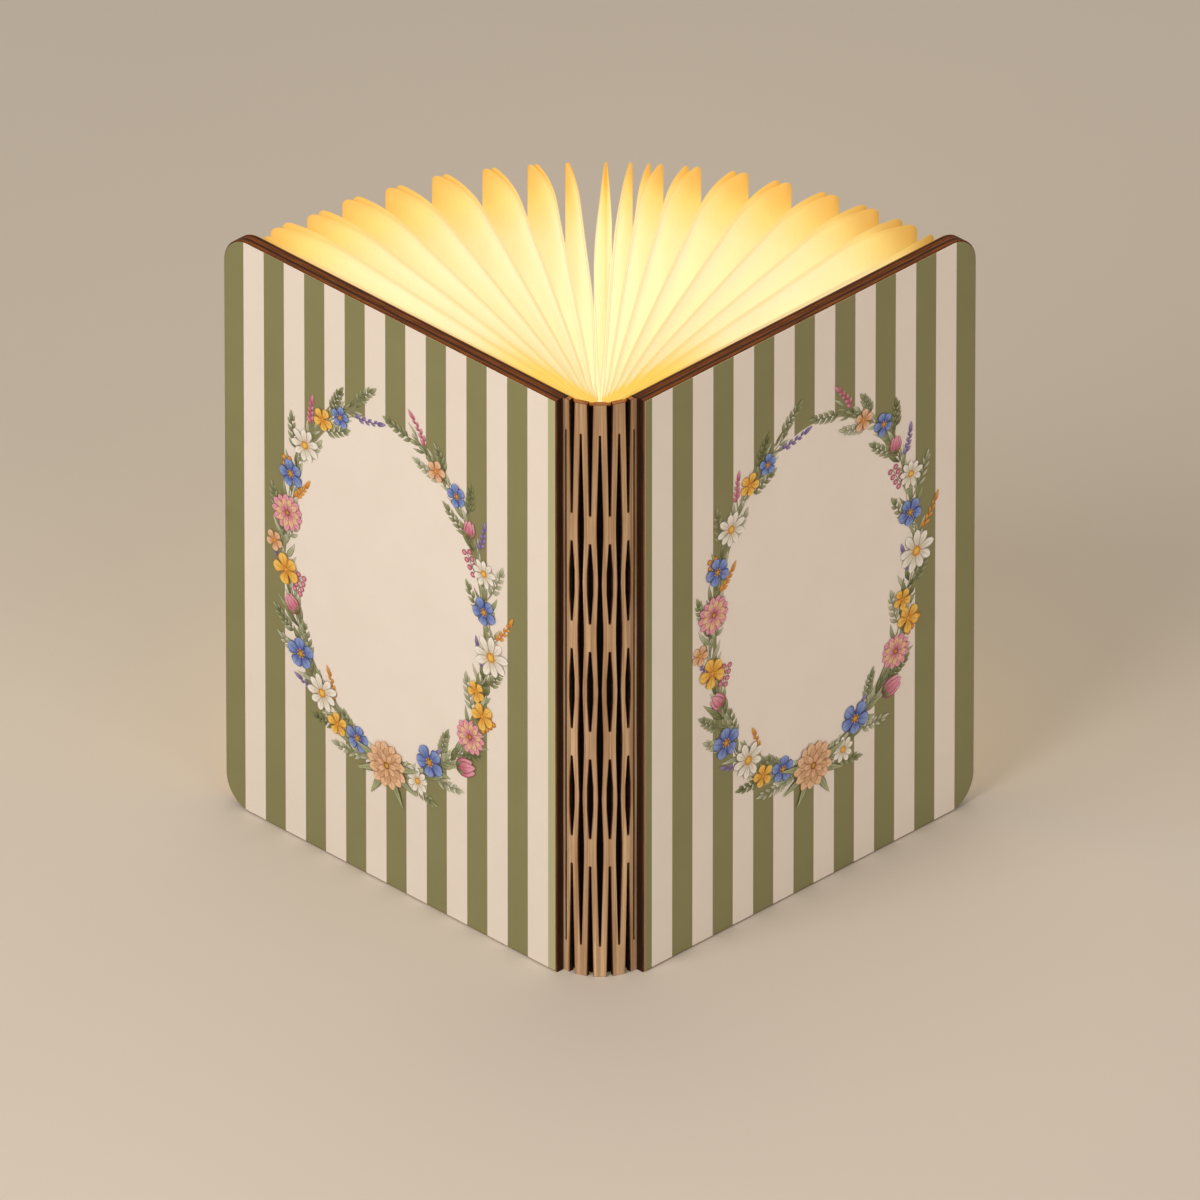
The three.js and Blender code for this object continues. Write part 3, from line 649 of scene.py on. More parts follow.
# %% Inks
def make_ink(name, deep, light, line, outline=0.75, vein=0.35):
    finish = Finish(name, **print_gloss)
    along = finish.add("Attribute", {"attribute_name": "along"}, output="Fac")
    rim = finish.add("Attribute", {"attribute_name": "rim"}, output="Fac")
    wash = finish.grain(420, 420, 4.0)
    tone = finish.between(along * 0.75 + wash * 0.6, 0.25, 1.05)
    colour = finish.mix(tone, deep, light)
    strokes = finish.between(finish.math("SINE", rim * 16.0), 0.55, 1.0) * (1 - along)
    colour = finish.mix(strokes * 0.35, colour, line)
    colour = finish.mix((1 - finish.between(rim, 0.04, 0.14)) * vein, colour, line)
    colour = finish.mix(finish.between(rim, 0.7, 0.88) * outline, colour, line)
    return finish.wear(base_color=colour, roughness=0.38 + wash * 0.1)


ink_colours = {
    "stem": ("73754e", "a9a884", "43462a"),
    "sage": ("626a42", "b2b88c", "363c22", 0.75, 0.5),
    "olive": ("4c532f", "979d66", "2c311a", 0.75, 0.5),
    "mist": ("8c9272", "d6d8bb", "4c5238", 0.8, 0.5),
    "blue": ("3c55a8", "8ba4e0", "2c3a78"),
    "pink": ("b8466c", "eba7b8", "8a2f4e"),
    "white": ("d8cfbc", "fbf8f0", "85796a", 0.7, 0.2),
    "yellow": ("e09a26", "fbd063", "a86a1a"),
    "orange": ("cf7a1e", "f2b24c", "8f5214"),
    "lilac": ("6d5a94", "a996c8", "4c3d70"),
    "peach": ("cf8f63", "f0c9a4", "a06a44"),
    "tan": ("b98255", "dcb189", "8a5a38"),
    "seed": ("8a5a1c", "e2ab3c", "6a4214"),
}
inks = {name: make_ink("ink_" + name, *colours) for name, colours in ink_colours.items()}
ink_order = list(inks)
print(len(inks), "inks:", ", ".join(ink_order))

# %% [markdown]
# ## Drawing with patches
#
# A patch is a little grid between two edges that taper by a profile. Leaves, petals, stems and seed heads differ
# only in their profile and in how their middle line runs. Patches are stacked in levels a few hundredths of a
# millimetre apart, so a front petal covers the ones behind it.

# %% Patches
level_step = 0.012 * MM
patch_thickness = 0.02 * MM
ink_lift = 0.01 * MM
leaf_profile = [(0, 0.08), (0.12, 0.45), (0.35, 1), (0.6, 0.86), (0.85, 0.4), (1, 0)]
petal_profile = [(0, 0.22), (0.3, 0.62), (0.6, 0.98), (0.8, 0.96), (0.93, 0.62), (1, 0.2)]
long_petal_profile = [(0, 0.3), (0.3, 0.75), (0.65, 1), (0.85, 0.8), (0.95, 0.5), (1, 0.12)]
bud_profile = [(0, 0.4), (0.25, 0.95), (0.5, 1), (0.8, 0.6), (1, 0.08)]


def away(x, z, heading, distance):
    return x + math.cos(heading) * distance, z + math.sin(heading) * distance


class Drawing:
    """Collects patches in the plane of a picture: x to the right, z up, both in metres from its middle."""

    def __init__(self):
        self.plan = bmesh.new()
        self.along = self.plan.verts.layers.float.new("along")
        self.rim = self.plan.verts.layers.float.new("rim")

    def corner(self, x, z, level, along, rim):
        vertex = self.plan.verts.new((x, level, z))
        vertex[self.along] = along
        vertex[self.rim] = rim
        return vertex

    def close(self, faces, border, level, ink):
        """Gives a top its walls and its base, along the border that runs round it."""
        base = [self.corner(v.co.x, v.co.z, level - patch_thickness, v[self.along], v[self.rim]) for v in border]
        faces += [(border[n], border[n - 1], base[n - 1], base[n]) for n in range(len(border))]
        for corners in [*faces, base[::-1]]:
            self.plan.faces.new(corners).material_index = ink_order.index(ink)

    def patch(self, rows, level, ink):
        """A closed thin plate. rows holds rows of (x, z, along, rim)."""
        top = [[self.corner(x, z, level, along, rim) for x, z, along, rim in row] for row in rows]
        faces = [
            (below[n], below[n + 1], above[n + 1], above[n])
            for below, above in zip(top, top[1:]) for n in range(len(below) - 1)
        ]
        border = top[0] + [row[-1] for row in top[1:]] + top[-1][-2::-1] + [row[0] for row in top[-2:0:-1]]
        self.close(faces, border, level, ink)

    def blade(self, x, z, heading, length, width, ink, level, profile, bend=0, lift=0):
        """A petal or leaf from (x, z) towards a heading, in radians, whose middle line bends as it goes."""
        rows = []
        steps = 9
        for n in range(steps + 1):
            t = n / steps
            turn = heading + bend * t
            half = max(on_profile(profile, t), 0.02) * width / 2
            rows.append([
                (x - math.sin(turn) * half * share, z + math.cos(turn) * half * share, max(t, lift), abs(share))
                for share in (-1, -0.55, 0, 0.55, 1)
            ])
            x += math.cos(turn + bend / (2 * steps)) * length / steps
            z += math.sin(turn + bend / (2 * steps)) * length / steps
        self.patch(rows, level, ink)

    def disc(self, x, z, radius, ink, level, sides=14):
        centre = self.corner(x, z, level, 1, 0)
        inner, outer = [
            [
                self.corner(*away(x, z, 2 * math.pi * n / sides, radius * share), level, 1 - share, share)
                for n in range(sides)
            ]
            for share in (0.6, 1)
        ]
        faces = [(centre, inner[n - 1], inner[n]) for n in range(sides)]
        faces += [(inner[n], inner[n - 1], outer[n - 1], outer[n]) for n in range(sides)]
        self.close(faces, outer, level, ink)

    def ribbon(self, points, width, ink, level):
        rows = []
        for n, (x, z) in enumerate(points):
            back, ahead = points[max(n - 1, 0)], points[min(n + 1, len(points) - 1)]
            heading = math.atan2(ahead[1] - back[1], ahead[0] - back[0])
            half = width / 2 * (1 - 0.5 * n / len(points))
            rows.append([
                (x - math.sin(heading) * half * share, z + math.cos(heading) * half * share, 0.5, abs(share) * 0.85)
                for share in (-1, 0, 1)
            ])
        self.patch(rows, level, ink)


def on_profile(profile, t):
    for (t0, w0), (t1, w1) in zip(profile, profile[1:]):
        if t <= t1:
            return w0 + (w1 - w0) * smooth((t - t0) / (t1 - t0))
    return profile[-1][1]


print("profiles:", len(leaf_profile), "points for a leaf,", len(petal_profile), "for a petal")

# %% Flowers of the garland
garland_seed = 31
draw = random.Random(garland_seed)


def jitter(amount):
    return draw.uniform(-amount, amount)


def blossom(
    art, x, z, radius, ink, level, petals=5, profile=petal_profile, fullness=1.25, core="seed", core_share=0.24,
):
    """An open flower: a ring of petals in two levels round a seed head with dots."""
    turn = draw.uniform(0, 2 * math.pi)
    width = 2 * math.pi * radius * 0.55 / petals * fullness
    for n in range(petals):
        heading = turn + 2 * math.pi * n / petals + jitter(0.08)
        size = radius * (1 + jitter(0.08))
        start = radius * 0.12
        art.blade(
            *away(x, z, heading, start), heading, size - start, width, ink,
            level + (n % 2 + (1 if n == petals - 1 and petals % 2 else 0)) * level_step, profile, jitter(0.15),
        )
    art.disc(x, z, radius * core_share, core, level + 3.5 * level_step)
    for n in range(7):
        heading = 2 * math.pi * n / 7
        reach = radius * core_share * 1.05
        art.disc(*away(x, z, heading, reach), radius * 0.055, "yellow", level + 4.5 * level_step, 6)


def rosette(art, x, z, radius, ink, inner_ink, level):
    """A full flower of three rings, each smaller and higher than the one before."""
    for ring, (share, petals) in enumerate(((1, 13), (0.76, 10), (0.5, 7))):
        turn = draw.uniform(0, 1)
        for n in range(petals):
            heading = turn + 2 * math.pi * n / petals + jitter(0.05)
            art.blade(
                x, z, heading, radius * share * (1 + jitter(0.05)), radius * share * 0.5,
                inner_ink if ring == 1 else ink, level + (2 * ring + n % 2) * level_step, petal_profile, jitter(0.1),
            )
    art.disc(x, z, radius * 0.16, "seed", level + 7 * level_step)


def tulip(art, x, z, heading, size, ink, level):
    """A cup of three petals on two small leaves."""
    for turn, share in ((0.42, 0.94), (-0.42, 0.94), (0, 1)):
        art.blade(
            x, z, heading + turn, size * share, size * 0.52, ink, level + (2 if turn == 0 else 1) * level_step,
            bud_profile, -turn * 0.9,
        )
    for turn in (0.9, -0.9):
        art.blade(
            x, z, heading + turn, size * 0.42, size * 0.2, "olive", level + 3 * level_step, leaf_profile, -turn * 0.5,
        )


def twig(art, x, z, heading, length, bend, level, kind, ink="sage"):
    """A side shoot, with leaves, berries or buds along it."""
    points = []
    px, pz = x, z
    steps = 10
    for n in range(steps + 1):
        points.append((px, pz))
        turn = heading + bend * n / steps
        px += math.cos(turn) * length / steps
        pz += math.sin(turn) * length / steps
    art.ribbon(points, 0.45 * MM, "stem", level)
    for n in range(3, steps + 1):
        turn = heading + bend * n / steps
        side = 1 if n % 2 else -1
        px, pz = points[n]
        if kind == "leaves":
            art.blade(
                px, pz, turn + side * 0.75, 4.4 * MM * (1.1 - 0.05 * n), 1.5 * MM, ink,
                level + (1 + n % 3) * level_step, leaf_profile, -side * 0.3,
            )
        elif kind == "buds":
            size = 2.6 * MM * (1.15 - 0.05 * n)
            art.blade(px, pz, turn + side * 0.6, size, size * 0.62, ink, level + (1 + n % 3) * level_step, bud_profile)
        elif n % 2:
            reach = 1.7 * MM
            for way in (-1, 1):
                art.disc(*away(px, pz, turn + way * 0.9, reach), 1.05 * MM, ink, level + 2 * level_step, 10)
    if kind != "berries":
        art.blade(px, pz, heading + bend, 4 * MM, 1.6 * MM, ink, level + 4 * level_step, bud_profile)


print("flower kinds: blossom, rosette, tulip, twig")

# %% [markdown]
# ## Laying out the garland
#
# Two branches leave a large rosette at the foot of the oval and climb its sides, and stop short of each other at
# the top. Positions are given by the turn round the oval, from its foot, so the layout follows any oval. Each
# branch has its own row of flowers, so that the two sides don't mirror each other.

# %% Garland
vine_half = Vector((46.5 * MM, 65.5 * MM))
branch_end = math.radians(166)
leaf_count = 92
vine_steps = 90
vine_wave = 0.9 * MM
branches = {
    1: (
        [
            (17, 2, "white", 5.2), (28, -2, "blue", 5.6), (39, 3, "tulip", 8.5), (53, -0.5, "rosette", 6.4),
            (65, 2.5, "yellow", 5), (72, -2, "yellow", 4), (85, 0.5, "white", 7.6), (99, -1, "blue", 5.2),
            (112, 2, "white", 5.4), (124, -1.5, "tulip", 6.6), (137, 1, "blue", 4.4), (150, -0.5, "peach", 3.8),
        ],
        [
            (9, 1, "leaves", "sage"), (20, -1, "buds", "lilac"), (24, 1, "leaves", "mist"), (33, -1, "leaves", "sage"),
            (42, 1, "leaves", "olive"), (47, -1, "buds", "pink"), (57, 1, "berries", "orange"),
            (61, -1, "leaves", "mist"), (74, 1, "leaves", "sage"), (80, -1, "buds", "lilac"), (90, 1, "buds", "orange"),
            (94, -1, "leaves", "sage"), (104, 1, "leaves", "mist"), (108, -1, "berries", "pink"),
            (118, 1, "buds", "lilac"), (122, -1, "leaves", "sage"), (130, 1, "leaves", "olive"),
            (142, -1, "leaves", "mist"), (145, 1, "leaves", "sage"), (156, 1, "buds", "pink"),
            (160, -1, "leaves", "sage"),
        ],
    ),
    -1: (
        [
            (18, -1.5, "blue", 4.8), (27, 3, "yellow", 4.4), (40, 0, "white", 6.8), (54, 2, "blue", 6),
            (66, -1.5, "tulip", 8), (80, 0.5, "yellow", 5.4), (88, 4, "peach", 3.8), (100, -0.5, "rosette", 6.6),
            (114, 1.5, "blue", 4.8), (127, -1, "white", 6.2), (141, 1.5, "yellow", 4), (152, -0.5, "blue", 3.6),
        ],
        [
            (8, 1, "leaves", "mist"), (14, -1, "leaves", "sage"), (23, 1, "leaves", "olive"),
            (31, -1, "buds", "orange"),
            (35, 1, "buds", "lilac"), (47, -1, "leaves", "sage"), (49, 1, "leaves", "mist"), (60, 1, "leaves", "sage"),
            (72, -1, "berries", "pink"), (75, 1, "buds", "lilac"), (86, -1, "leaves", "mist"),
            (94, 1, "leaves", "sage"),
            (105, -1, "buds", "orange"), (107, 1, "berries", "orange"), (119, 1, "leaves", "sage"),
            (121, -1, "leaves", "mist"), (133, 1, "buds", "pink"), (135, -1, "leaves", "sage"),
            (146, 1, "leaves", "olive"), (157, -1, "buds", "lilac"), (161, 1, "leaves", "sage"),
        ],
    ),
}


def on_vine(turn, out=0):
    """A point of the vine, that far outside it, with the heading of the climbing branch there."""
    x = vine_half.x * math.sin(turn)
    z = -vine_half.y * math.cos(turn)
    heading = math.atan2(vine_half.y * math.sin(turn), vine_half.x * math.cos(turn))
    wave = vine_wave * math.sin(turn * 9)
    normal = heading - math.pi / 2
    return x + math.cos(normal) * (out + wave), z + math.sin(normal) * (out + wave), heading


def draw_branch(art, way, flowers, twigs):
    vines = ((0, 1, 0.8, "stem"), (1.5, 0.97, 0.55, "olive"), (-1.3, 0.9, 0.5, "mist"))
    for level, (out, reach, width, ink) in enumerate(vines, 1):
        vine = [
            on_vine(branch_end * reach * n / vine_steps, out * MM * math.sin(n * 0.33))[:2]
            for n in range(vine_steps + 1)
        ]
        art.ribbon([(way * x, z) for x, z in vine], width * MM, ink, level * level_step)

    def facing(heading):
        return heading if way > 0 else math.pi - heading

    for n in range(leaf_count):
        turn = math.radians(4 + 160 * n / leaf_count + jitter(0.8))
        side = 1 if n % 2 else -1
        x, z, heading = on_vine(turn, jitter(1.2) * MM)
        fade = 1 - 0.4 * n / leaf_count
        art.blade(
            way * x, z, facing(heading - side * draw.uniform(0.3, 1.0)), draw.uniform(6, 12) * MM * fade,
            draw.uniform(1.7, 2.9) * MM * fade, draw.choice(["sage", "sage", "olive", "mist", "mist"]),
            (4 + n % 4) * level_step, leaf_profile, side * way * draw.uniform(0.1, 0.6),
        )
    for angle, side, kind, ink in twigs:
        x, z, heading = on_vine(math.radians(angle + jitter(1.5)))
        twig(
            art, way * x, z, facing(heading - side * draw.uniform(0.45, 0.85)), draw.uniform(10, 15) * MM,
            side * way * 0.35, 9 * level_step, kind, ink,
        )
    for n, (angle, out, kind, size) in enumerate(flowers):
        x, z, heading = on_vine(math.radians(angle + jitter(1.2)), (out + jitter(0.6)) * MM)
        level = (15 + 8 * (n % 3)) * level_step
        size = size * MM * (1 + jitter(0.06))
        if kind == "tulip":
            tulip(art, way * x, z, facing(heading - 0.5), size, "pink", level)
        elif kind == "rosette":
            rosette(art, way * x, z, size, "pink", "peach", level)
        elif kind == "white":
            blossom(art, way * x, z, size, "white", level, 9, long_petal_profile, 1.3, "yellow", 0.24)
        elif kind == "blue":
            blossom(art, way * x, z, size, "blue", level, 5)
        else:
            blossom(art, way * x, z, size, kind, level, 5, petal_profile, 1.2, "orange", 0.2)


def make_garland(word):
    side = SIDES[word]
    draw.seed(garland_seed)
    art = Drawing()
    for way, (flowers, twigs) in branches.items():
        draw_branch(art, way, flowers, twigs)
    foot = -vine_half.y
    for heading in (0.15, math.pi - 0.15, -0.5, math.pi + 0.5, -1.1, math.pi + 1.1):
        art.blade(0, foot, heading, 15 * MM, 3.2 * MM, "sage", 37 * level_step, leaf_profile, 0.2 * math.cos(heading))
    rosette(art, 0, foot, 8.5 * MM, "peach", "tan", 39 * level_step)
    bmesh.ops.remove_doubles(art.plan, verts=art.plan.verts, dist=weld_distance)
    for vertex in art.plan.verts:
        x, level, z = vertex.co
        across = outer_across + oval_centre.x + side * x
        vertex.co = standing(across, layer["print_sheet"][0] - ink_lift - level, oval_centre.y + z, side)
    bmesh.ops.recalc_face_normals(art.plan, faces=art.plan.faces)
    piece = link(f"{word}_garland", art.plan, [inks[name] for name in ink_order])
    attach(piece, f"{word}_cover")
    return piece


garlands = [make_garland(word) for word in SIDES]
print("garland of", len(garlands[0].data.polygons), "faces on each cover")

# %% [markdown]
# ## The lattice spine
#
# Two families of slots make the plywood bend. One lies on the bend lines, broken by bridges; the other lies
# between them and is closed at both ends. The bars between the slots twist a little as the book opens. Each half
# bar is a ribbon of quads between two edges that follow the slots' widths, and the piece is split only along the
# middle of the second family, where nothing shows. Each piece spans one bend line, but is not made to bend. Each piece
# spans one bend line, so it can bend with it.

# %% Slot widths
bridge_count = 4
bridge_length = 10.4 * MM
slot_length = 30 * MM
open_slot_length = (book_height - bridge_count * bridge_length - (bridge_count - 1) * slot_length) / 2
solid_end = 11.5 * MM
slot_mouth_half = 0.9 * MM
slot_end_half = 0.25 * MM
slot_middle_half = 0.85 * MM
twist_wide_half = 1.05 * MM
twist_narrow_half = 0.55 * MM
margin_half = 0.45 * MM
slot_straight_half = 4 * MM
twist_straight_half = 3 * MM
row_step = 3 * MM
closest_rows = 0.02 * MM


def bend_slots():
    """Each slot on a bend line, as (height, half width) pairs and whether each end is closed."""
    step = bridge_length + slot_length
    slots = [([(0, slot_mouth_half), (open_slot_length, slot_end_half)], False, True)]
    for gap in range(bridge_count - 1):
        low = open_slot_length + bridge_length + gap * step
        middle = low + slot_length / 2
        slots.append((
            [
                (low, slot_end_half), (middle - slot_straight_half, slot_middle_half),
                (middle + slot_straight_half, slot_middle_half), (low + slot_length, slot_end_half),
            ],
            True, True,
        ))
    slots.append((
        [(book_height - open_slot_length, slot_end_half), (book_height, slot_mouth_half)], True, False,
    ))
    return slots


def twist_slots():
    """The slot between two bend lines: wide beside the bridges and narrow beside the other slots' middles."""
    pairs = [(solid_end, slot_end_half)]
    step = bridge_length + slot_length
    for bridge in range(bridge_count):
        middle = open_slot_length + bridge * step + bridge_length / 2
        pairs += [(middle + way * twist_straight_half, twist_wide_half) for way in (-1, 1)]
        if bridge < bridge_count - 1:
            pairs.append((middle + step / 2, twist_narrow_half))
    pairs.append((book_height - solid_end, slot_end_half))
    return [(pairs, True, True)]


def margin_slots():
    return [([(solid_end, margin_half), (book_height - solid_end, margin_half)], True, True)]


def half_width(slots, height):
    """Half the width of the slot at a height, with each closed end rounded."""
    for pairs, low_closed, high_closed in slots:
        if not pairs[0][0] <= height <= pairs[-1][0]:
            continue
        for (z0, h0), (z1, h1) in zip(pairs, pairs[1:]):
            if z0 <= height <= z1:
                half = h0 + (h1 - h0) * (height - z0) / (z1 - z0)
                break
        for end, closed in ((pairs[0], low_closed), (pairs[-1], high_closed)):
            depth = abs(height - end[0])
            if closed and depth < end[1]:
                half = min(half, math.sqrt(max(end[1] ** 2 - (end[1] - depth) ** 2, 0)))
        return half
    return 0


def slot_heights(*families):
    """Heights of the rows of quads: close together at the rounded ends of the slots, and even elsewhere."""
    rows = {n * row_step for n in range(int(book_height / row_step) + 1)} | {book_height}
    for slots in families:
        for pairs, low_closed, high_closed in slots:
            rows |= {height for height, half in pairs}
            for (end, half), closed, way in ((pairs[0], low_closed, 1), (pairs[-1], high_closed, -1)):
                if closed:
                    rows |= {end + way * half * share for share in (0.1, 0.3, 0.6, 1)}
    ordered = sorted(rows)
    kept = [ordered[0]]
    for height in ordered[1:]:
        if height - kept[-1] > closest_rows:
            kept.append(height)
    kept[-1] = book_height
    return kept


print("bend slots:", len(bend_slots()), "open slot", round(open_slot_length / MM, 1), "mm")

# %% Lattice strips
chord_half = 4 * MM
bar_rim = 0.17 * MM


def ribbon(plan, heights, left, right, columns=5):
    """Quads between two edges, given as functions of the height."""
    rows = []
    for height in heights:
        low, high = left(height), right(height)
        rows.append([plan.verts.new((low + (high - low) * n / columns, 0, height)) for n in range(columns + 1)])
    for below, above in zip(rows, rows[1:]):
        for n in range(columns):
            plan.faces.new((below[n], below[n + 1], above[n + 1], above[n]))


def bend_across(piece, side, bend_at):
    """Works out the middle and chord of the short reach on either side of a bend line, but blends nothing: the piece
    only has its place baked into its mesh.
    """
    centre = standing(bend_at, 0, 0, side)
    chord = standing(bend_at + chord_half, 0, 0, side) - standing(bend_at - chord_half, 0, 0, side)
    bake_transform(piece)


def make_lattice_strip(word, name, seam_low, bend_at, seam_high, low_slots, high_slots, nodes):
    heights = slot_heights(bend_slots(), low_slots, high_slots)
    plan = bmesh.new()
    ribbon(
        plan, heights,
        lambda z: seam_low + half_width(low_slots, z),
        lambda z: bend_at - half_width(bend_slots(), z),
    )
    ribbon(
        plan, heights,
        lambda z: bend_at + half_width(bend_slots(), z),
        lambda z: seam_high - half_width(high_slots, z),
    )
    plan = thicken(plan, *layer["inner_panel"], bar_rim, (seam_low, seam_high), sawn_ends=True)
    side = SIDES[word]
    piece = link(
        f"{word}_{name}", stand_up(plan, side), [lattice_face, lattice_rim, charred_edge, lattice_face, lattice_end_grain_and_glow],
    )
    for node in nodes:
        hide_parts(node)
    bend_across(piece, side, bend_at)


for word in SIDES:
    make_lattice_strip(
        word, "lattice_inner_bars", 0, inner_across, slat_width, twist_slots(), twist_slots(),
        ("middle_lattice_slat", f"{word}_lattice_slat"),
    )
    make_lattice_strip(
        word, "lattice_outer_bars", slat_width, outer_across, outer_across + panel_near, twist_slots(),
        margin_slots(), (f"{word}_lattice_slat",),
    )
print("lattice strips with", len(slot_heights(bend_slots(), twist_slots())), "rows")

# %% [markdown]
# ## The dark cloth behind the lattice
#
# No light shows through the slots, because a dark cloth is glued behind them. It is made in the same four lengths
# as the lattice, each over one bend line, but is not made to bend.

# %% Spine cloth
cloth_layer = (1.2 * MM, 1.5 * MM)
cloth_end = 0.5 * MM
cloth_columns = 8
cloth_overlap = 0.3 * MM


def make_cloth(word, name, low, high, bend_at, nodes):
    plan = bmesh.new()
    heights = (cloth_end, book_height / 2, book_height - cloth_end)
    ribbon(plan, heights, lambda z: low, lambda z: high, cloth_columns)
    plan = thicken(plan, *cloth_layer, 0)
    side = SIDES[word]
    piece = link(f"{word}_{name}", stand_up(plan, side), [dark_cloth] * 4)
    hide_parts(*nodes)
    bend_across(piece, side, bend_at)


for word in SIDES:
    make_cloth(
        word, "cloth_inner", 0, slat_width, inner_across,
        ("binding_strip", f"{word}_spine_cloth"),
    )
    make_cloth(
        word, "cloth_outer", slat_width, outer_across + lining_near - cloth_overlap, outer_across,
        (f"{word}_hinge_cloth",),
    )
print("cloth behind the lattice in 4 lengths")

# %% [markdown]
# ## The paper leaves
#
# Each leaf is a folded sheet. Its two layers lie close together and bow as one towards the middle of the fan,
# until they curl back at the fore-edge, where they part a little. Only the middle leaf's layers bow apart, one to
# each side. A layer is a grid of quads along the leaf and up its height. Its tip keeps the leaf's own angle, and
# its belly keeps to the plane halfway to the next leaf. As the covers turn, every such plane turns by its own
# share; the turns that a layer's tip and belly would need are worked out, but the layer is not blended between
# bodies. The last leaf on each side has one more layer, which lies along the cover. The turns are worked out for
# the resting pose: when the lamp closes, the layers still pass through each other, and the outer ones touch the
# cloth and the lattice.

# %% Leaf shape
leaf_angle_shares = {
    "left": [-0.016, 0.082, 0.176, 0.29, 0.422, 0.556, 0.687, 0.806, 0.925],
    "right": [0.016, 0.077, 0.141, 0.241, 0.367, 0.49, 0.628, 0.756, 0.885],
}
leaf_reach_shares = {
    "left": [1, 1, 1, 1, 1, 0.99, 0.988, 0.975, 0.978],
    "right": [1, 1, 1, 1, 1, 0.99, 0.985, 0.978, 0.97],
}
tip_gaps = {
    "left": [0.6, 0.6, 2, 2.8, 3.4, 3.8, 4, 4.4, 5],
    "right": [0.6, 0.6, 4.1, 4, 3.9, 4, 4.2, 4.6, 6],
}
curve_root = [(0, 0.6), (0.1, 0.75), (0.2, 0.9)]
bow_curve = [*curve_root, (0.45, 0.96), (0.75, 0.97), (0.86, 0.9), (0.93, 0.62), (0.975, 0.28), (1, 0)]
slender_curves = {
    "middle_inner": [*curve_root, (0.45, 0.96), (0.55, 0.93), (0.68, 0.71), (0.82, 0.37), (0.95, 0.12), (1, 0)],
    "middle_outer": [*curve_root, (0.45, 0.96), (0.7, 0.95), (0.82, 0.6), (0.92, 0.27), (1, 0)],
    "left": [*curve_root, (0.42, 0.95), (0.56, 0.74), (0.68, 0.6), (0.84, 0.48), (0.89, 0.4), (0.955, 0.2), (1, 0)],
    "right": [*curve_root, (0.45, 0.96), (0.7, 0.86), (0.84, 0.56), (0.92, 0.33), (1, 0)],
}
end_sheet_curve = [(0, 0.6), (0.1, 0.7), (0.2, 0.78), (0.45, 0.83), (0.75, 0.83), (0.9, 0.81), (1, 0.75)]
end_sheet_share = 0.965
parting_start = 0.72
leaf_pitch = 0.5 * MM
leaf_root = 2 * MM
leaf_gap = 0.12 * MM
leaf_stem_half = 0.12 * MM
leaf_stem = 9 * MM
leaf_open = 24 * MM
layer_spacing = 0.5 * MM
paper_thickness = 0.2 * MM
cover_clearance = 1.1 * MM
page_corner = 2.5 * MM
binding_length = 10 * MM
leaf_notch = 13 * MM
leaf_columns = 40
corner_columns = 5
leaf_rows = 10
paper_waviness = 0.45 * MM
waves_along = 14
waves_up = 9


def on_curve(pairs, share):
    """The height of a smooth curve through the pairs, at a share of the leaf's length."""
    for index, ((x0, y0), (x1, y1)) in enumerate(zip(pairs, pairs[1:])):
        if share <= x1:
            before = pairs[max(index - 1, 0)]
            after = pairs[min(index + 2, len(pairs) - 1)]
            slope0 = (y1 - before[1]) / (x1 - before[0])
            slope1 = (after[1] - y0) / (after[0] - x0)
            width = x1 - x0
            t = (share - x0) / width
            return (
                y0 * (2 * t ** 3 - 3 * t ** 2 + 1) + y1 * (3 * t ** 2 - 2 * t ** 3)
                + width * slope0 * (t ** 3 - 2 * t ** 2 + t) + width * slope1 * (t ** 3 - t ** 2)
            )
    return pairs[-1][1]


def leaf_distances(length):
    """Distances along a layer of its columns, closer together near the root and round the corner of the tip."""
    shares = [0.5 - 0.5 * math.cos(math.pi * n / leaf_columns) for n in range(leaf_columns + 1)]
    spread = [length * (0.35 * n / leaf_columns + 0.65 * share) for n, share in enumerate(shares)]
    turns = [math.pi / 2 * n / corner_columns for n in range(corner_columns + 1)]
    corner = [length - page_corner * (1 - math.sin(turn)) for turn in turns]
    return [reach for reach in spread if reach < corner[0] - MM / 2] + corner


def leaf_heights():
    """Heights of the rows: even, with one more where the binding at the top of the leaf ends."""
    even = [page_foot + (page_head - page_foot) * n / leaf_rows for n in range(leaf_rows + 1)]
    return sorted([*even[:-1], page_head - binding_length, page_head])


def unsmooth(value):
    """The share whose smooth step is the value."""
    return 0.5 - math.sin(math.asin(1 - 2 * min(max(value, 0), 1)) / 3)


def layer_offset(kind, reach, length, half_gap, root_clear, curve, tip_gap):
    """How far a layer lies beside its leaf's own plane, towards the neighbour that it bows to."""
    share = reach / length
    room = root_clear + reach * math.tan(half_gap) - leaf_gap
    belly = room * on_curve(curve, share)
    parting = max(share - parting_start, 0) / (1 - parting_start)
    half_tip_gap = tip_gap / 2 * parting ** 2
    if kind == "inner":
        belly += half_tip_gap
    if kind == "outer":
        belly -= max(layer_spacing * (1 - parting), half_tip_gap)
    opened = smooth((reach - leaf_stem) / (leaf_open - leaf_stem))
    stem = -leaf_stem_half if kind == "outer" else leaf_stem_half
    return stem + (belly - stem) * opened


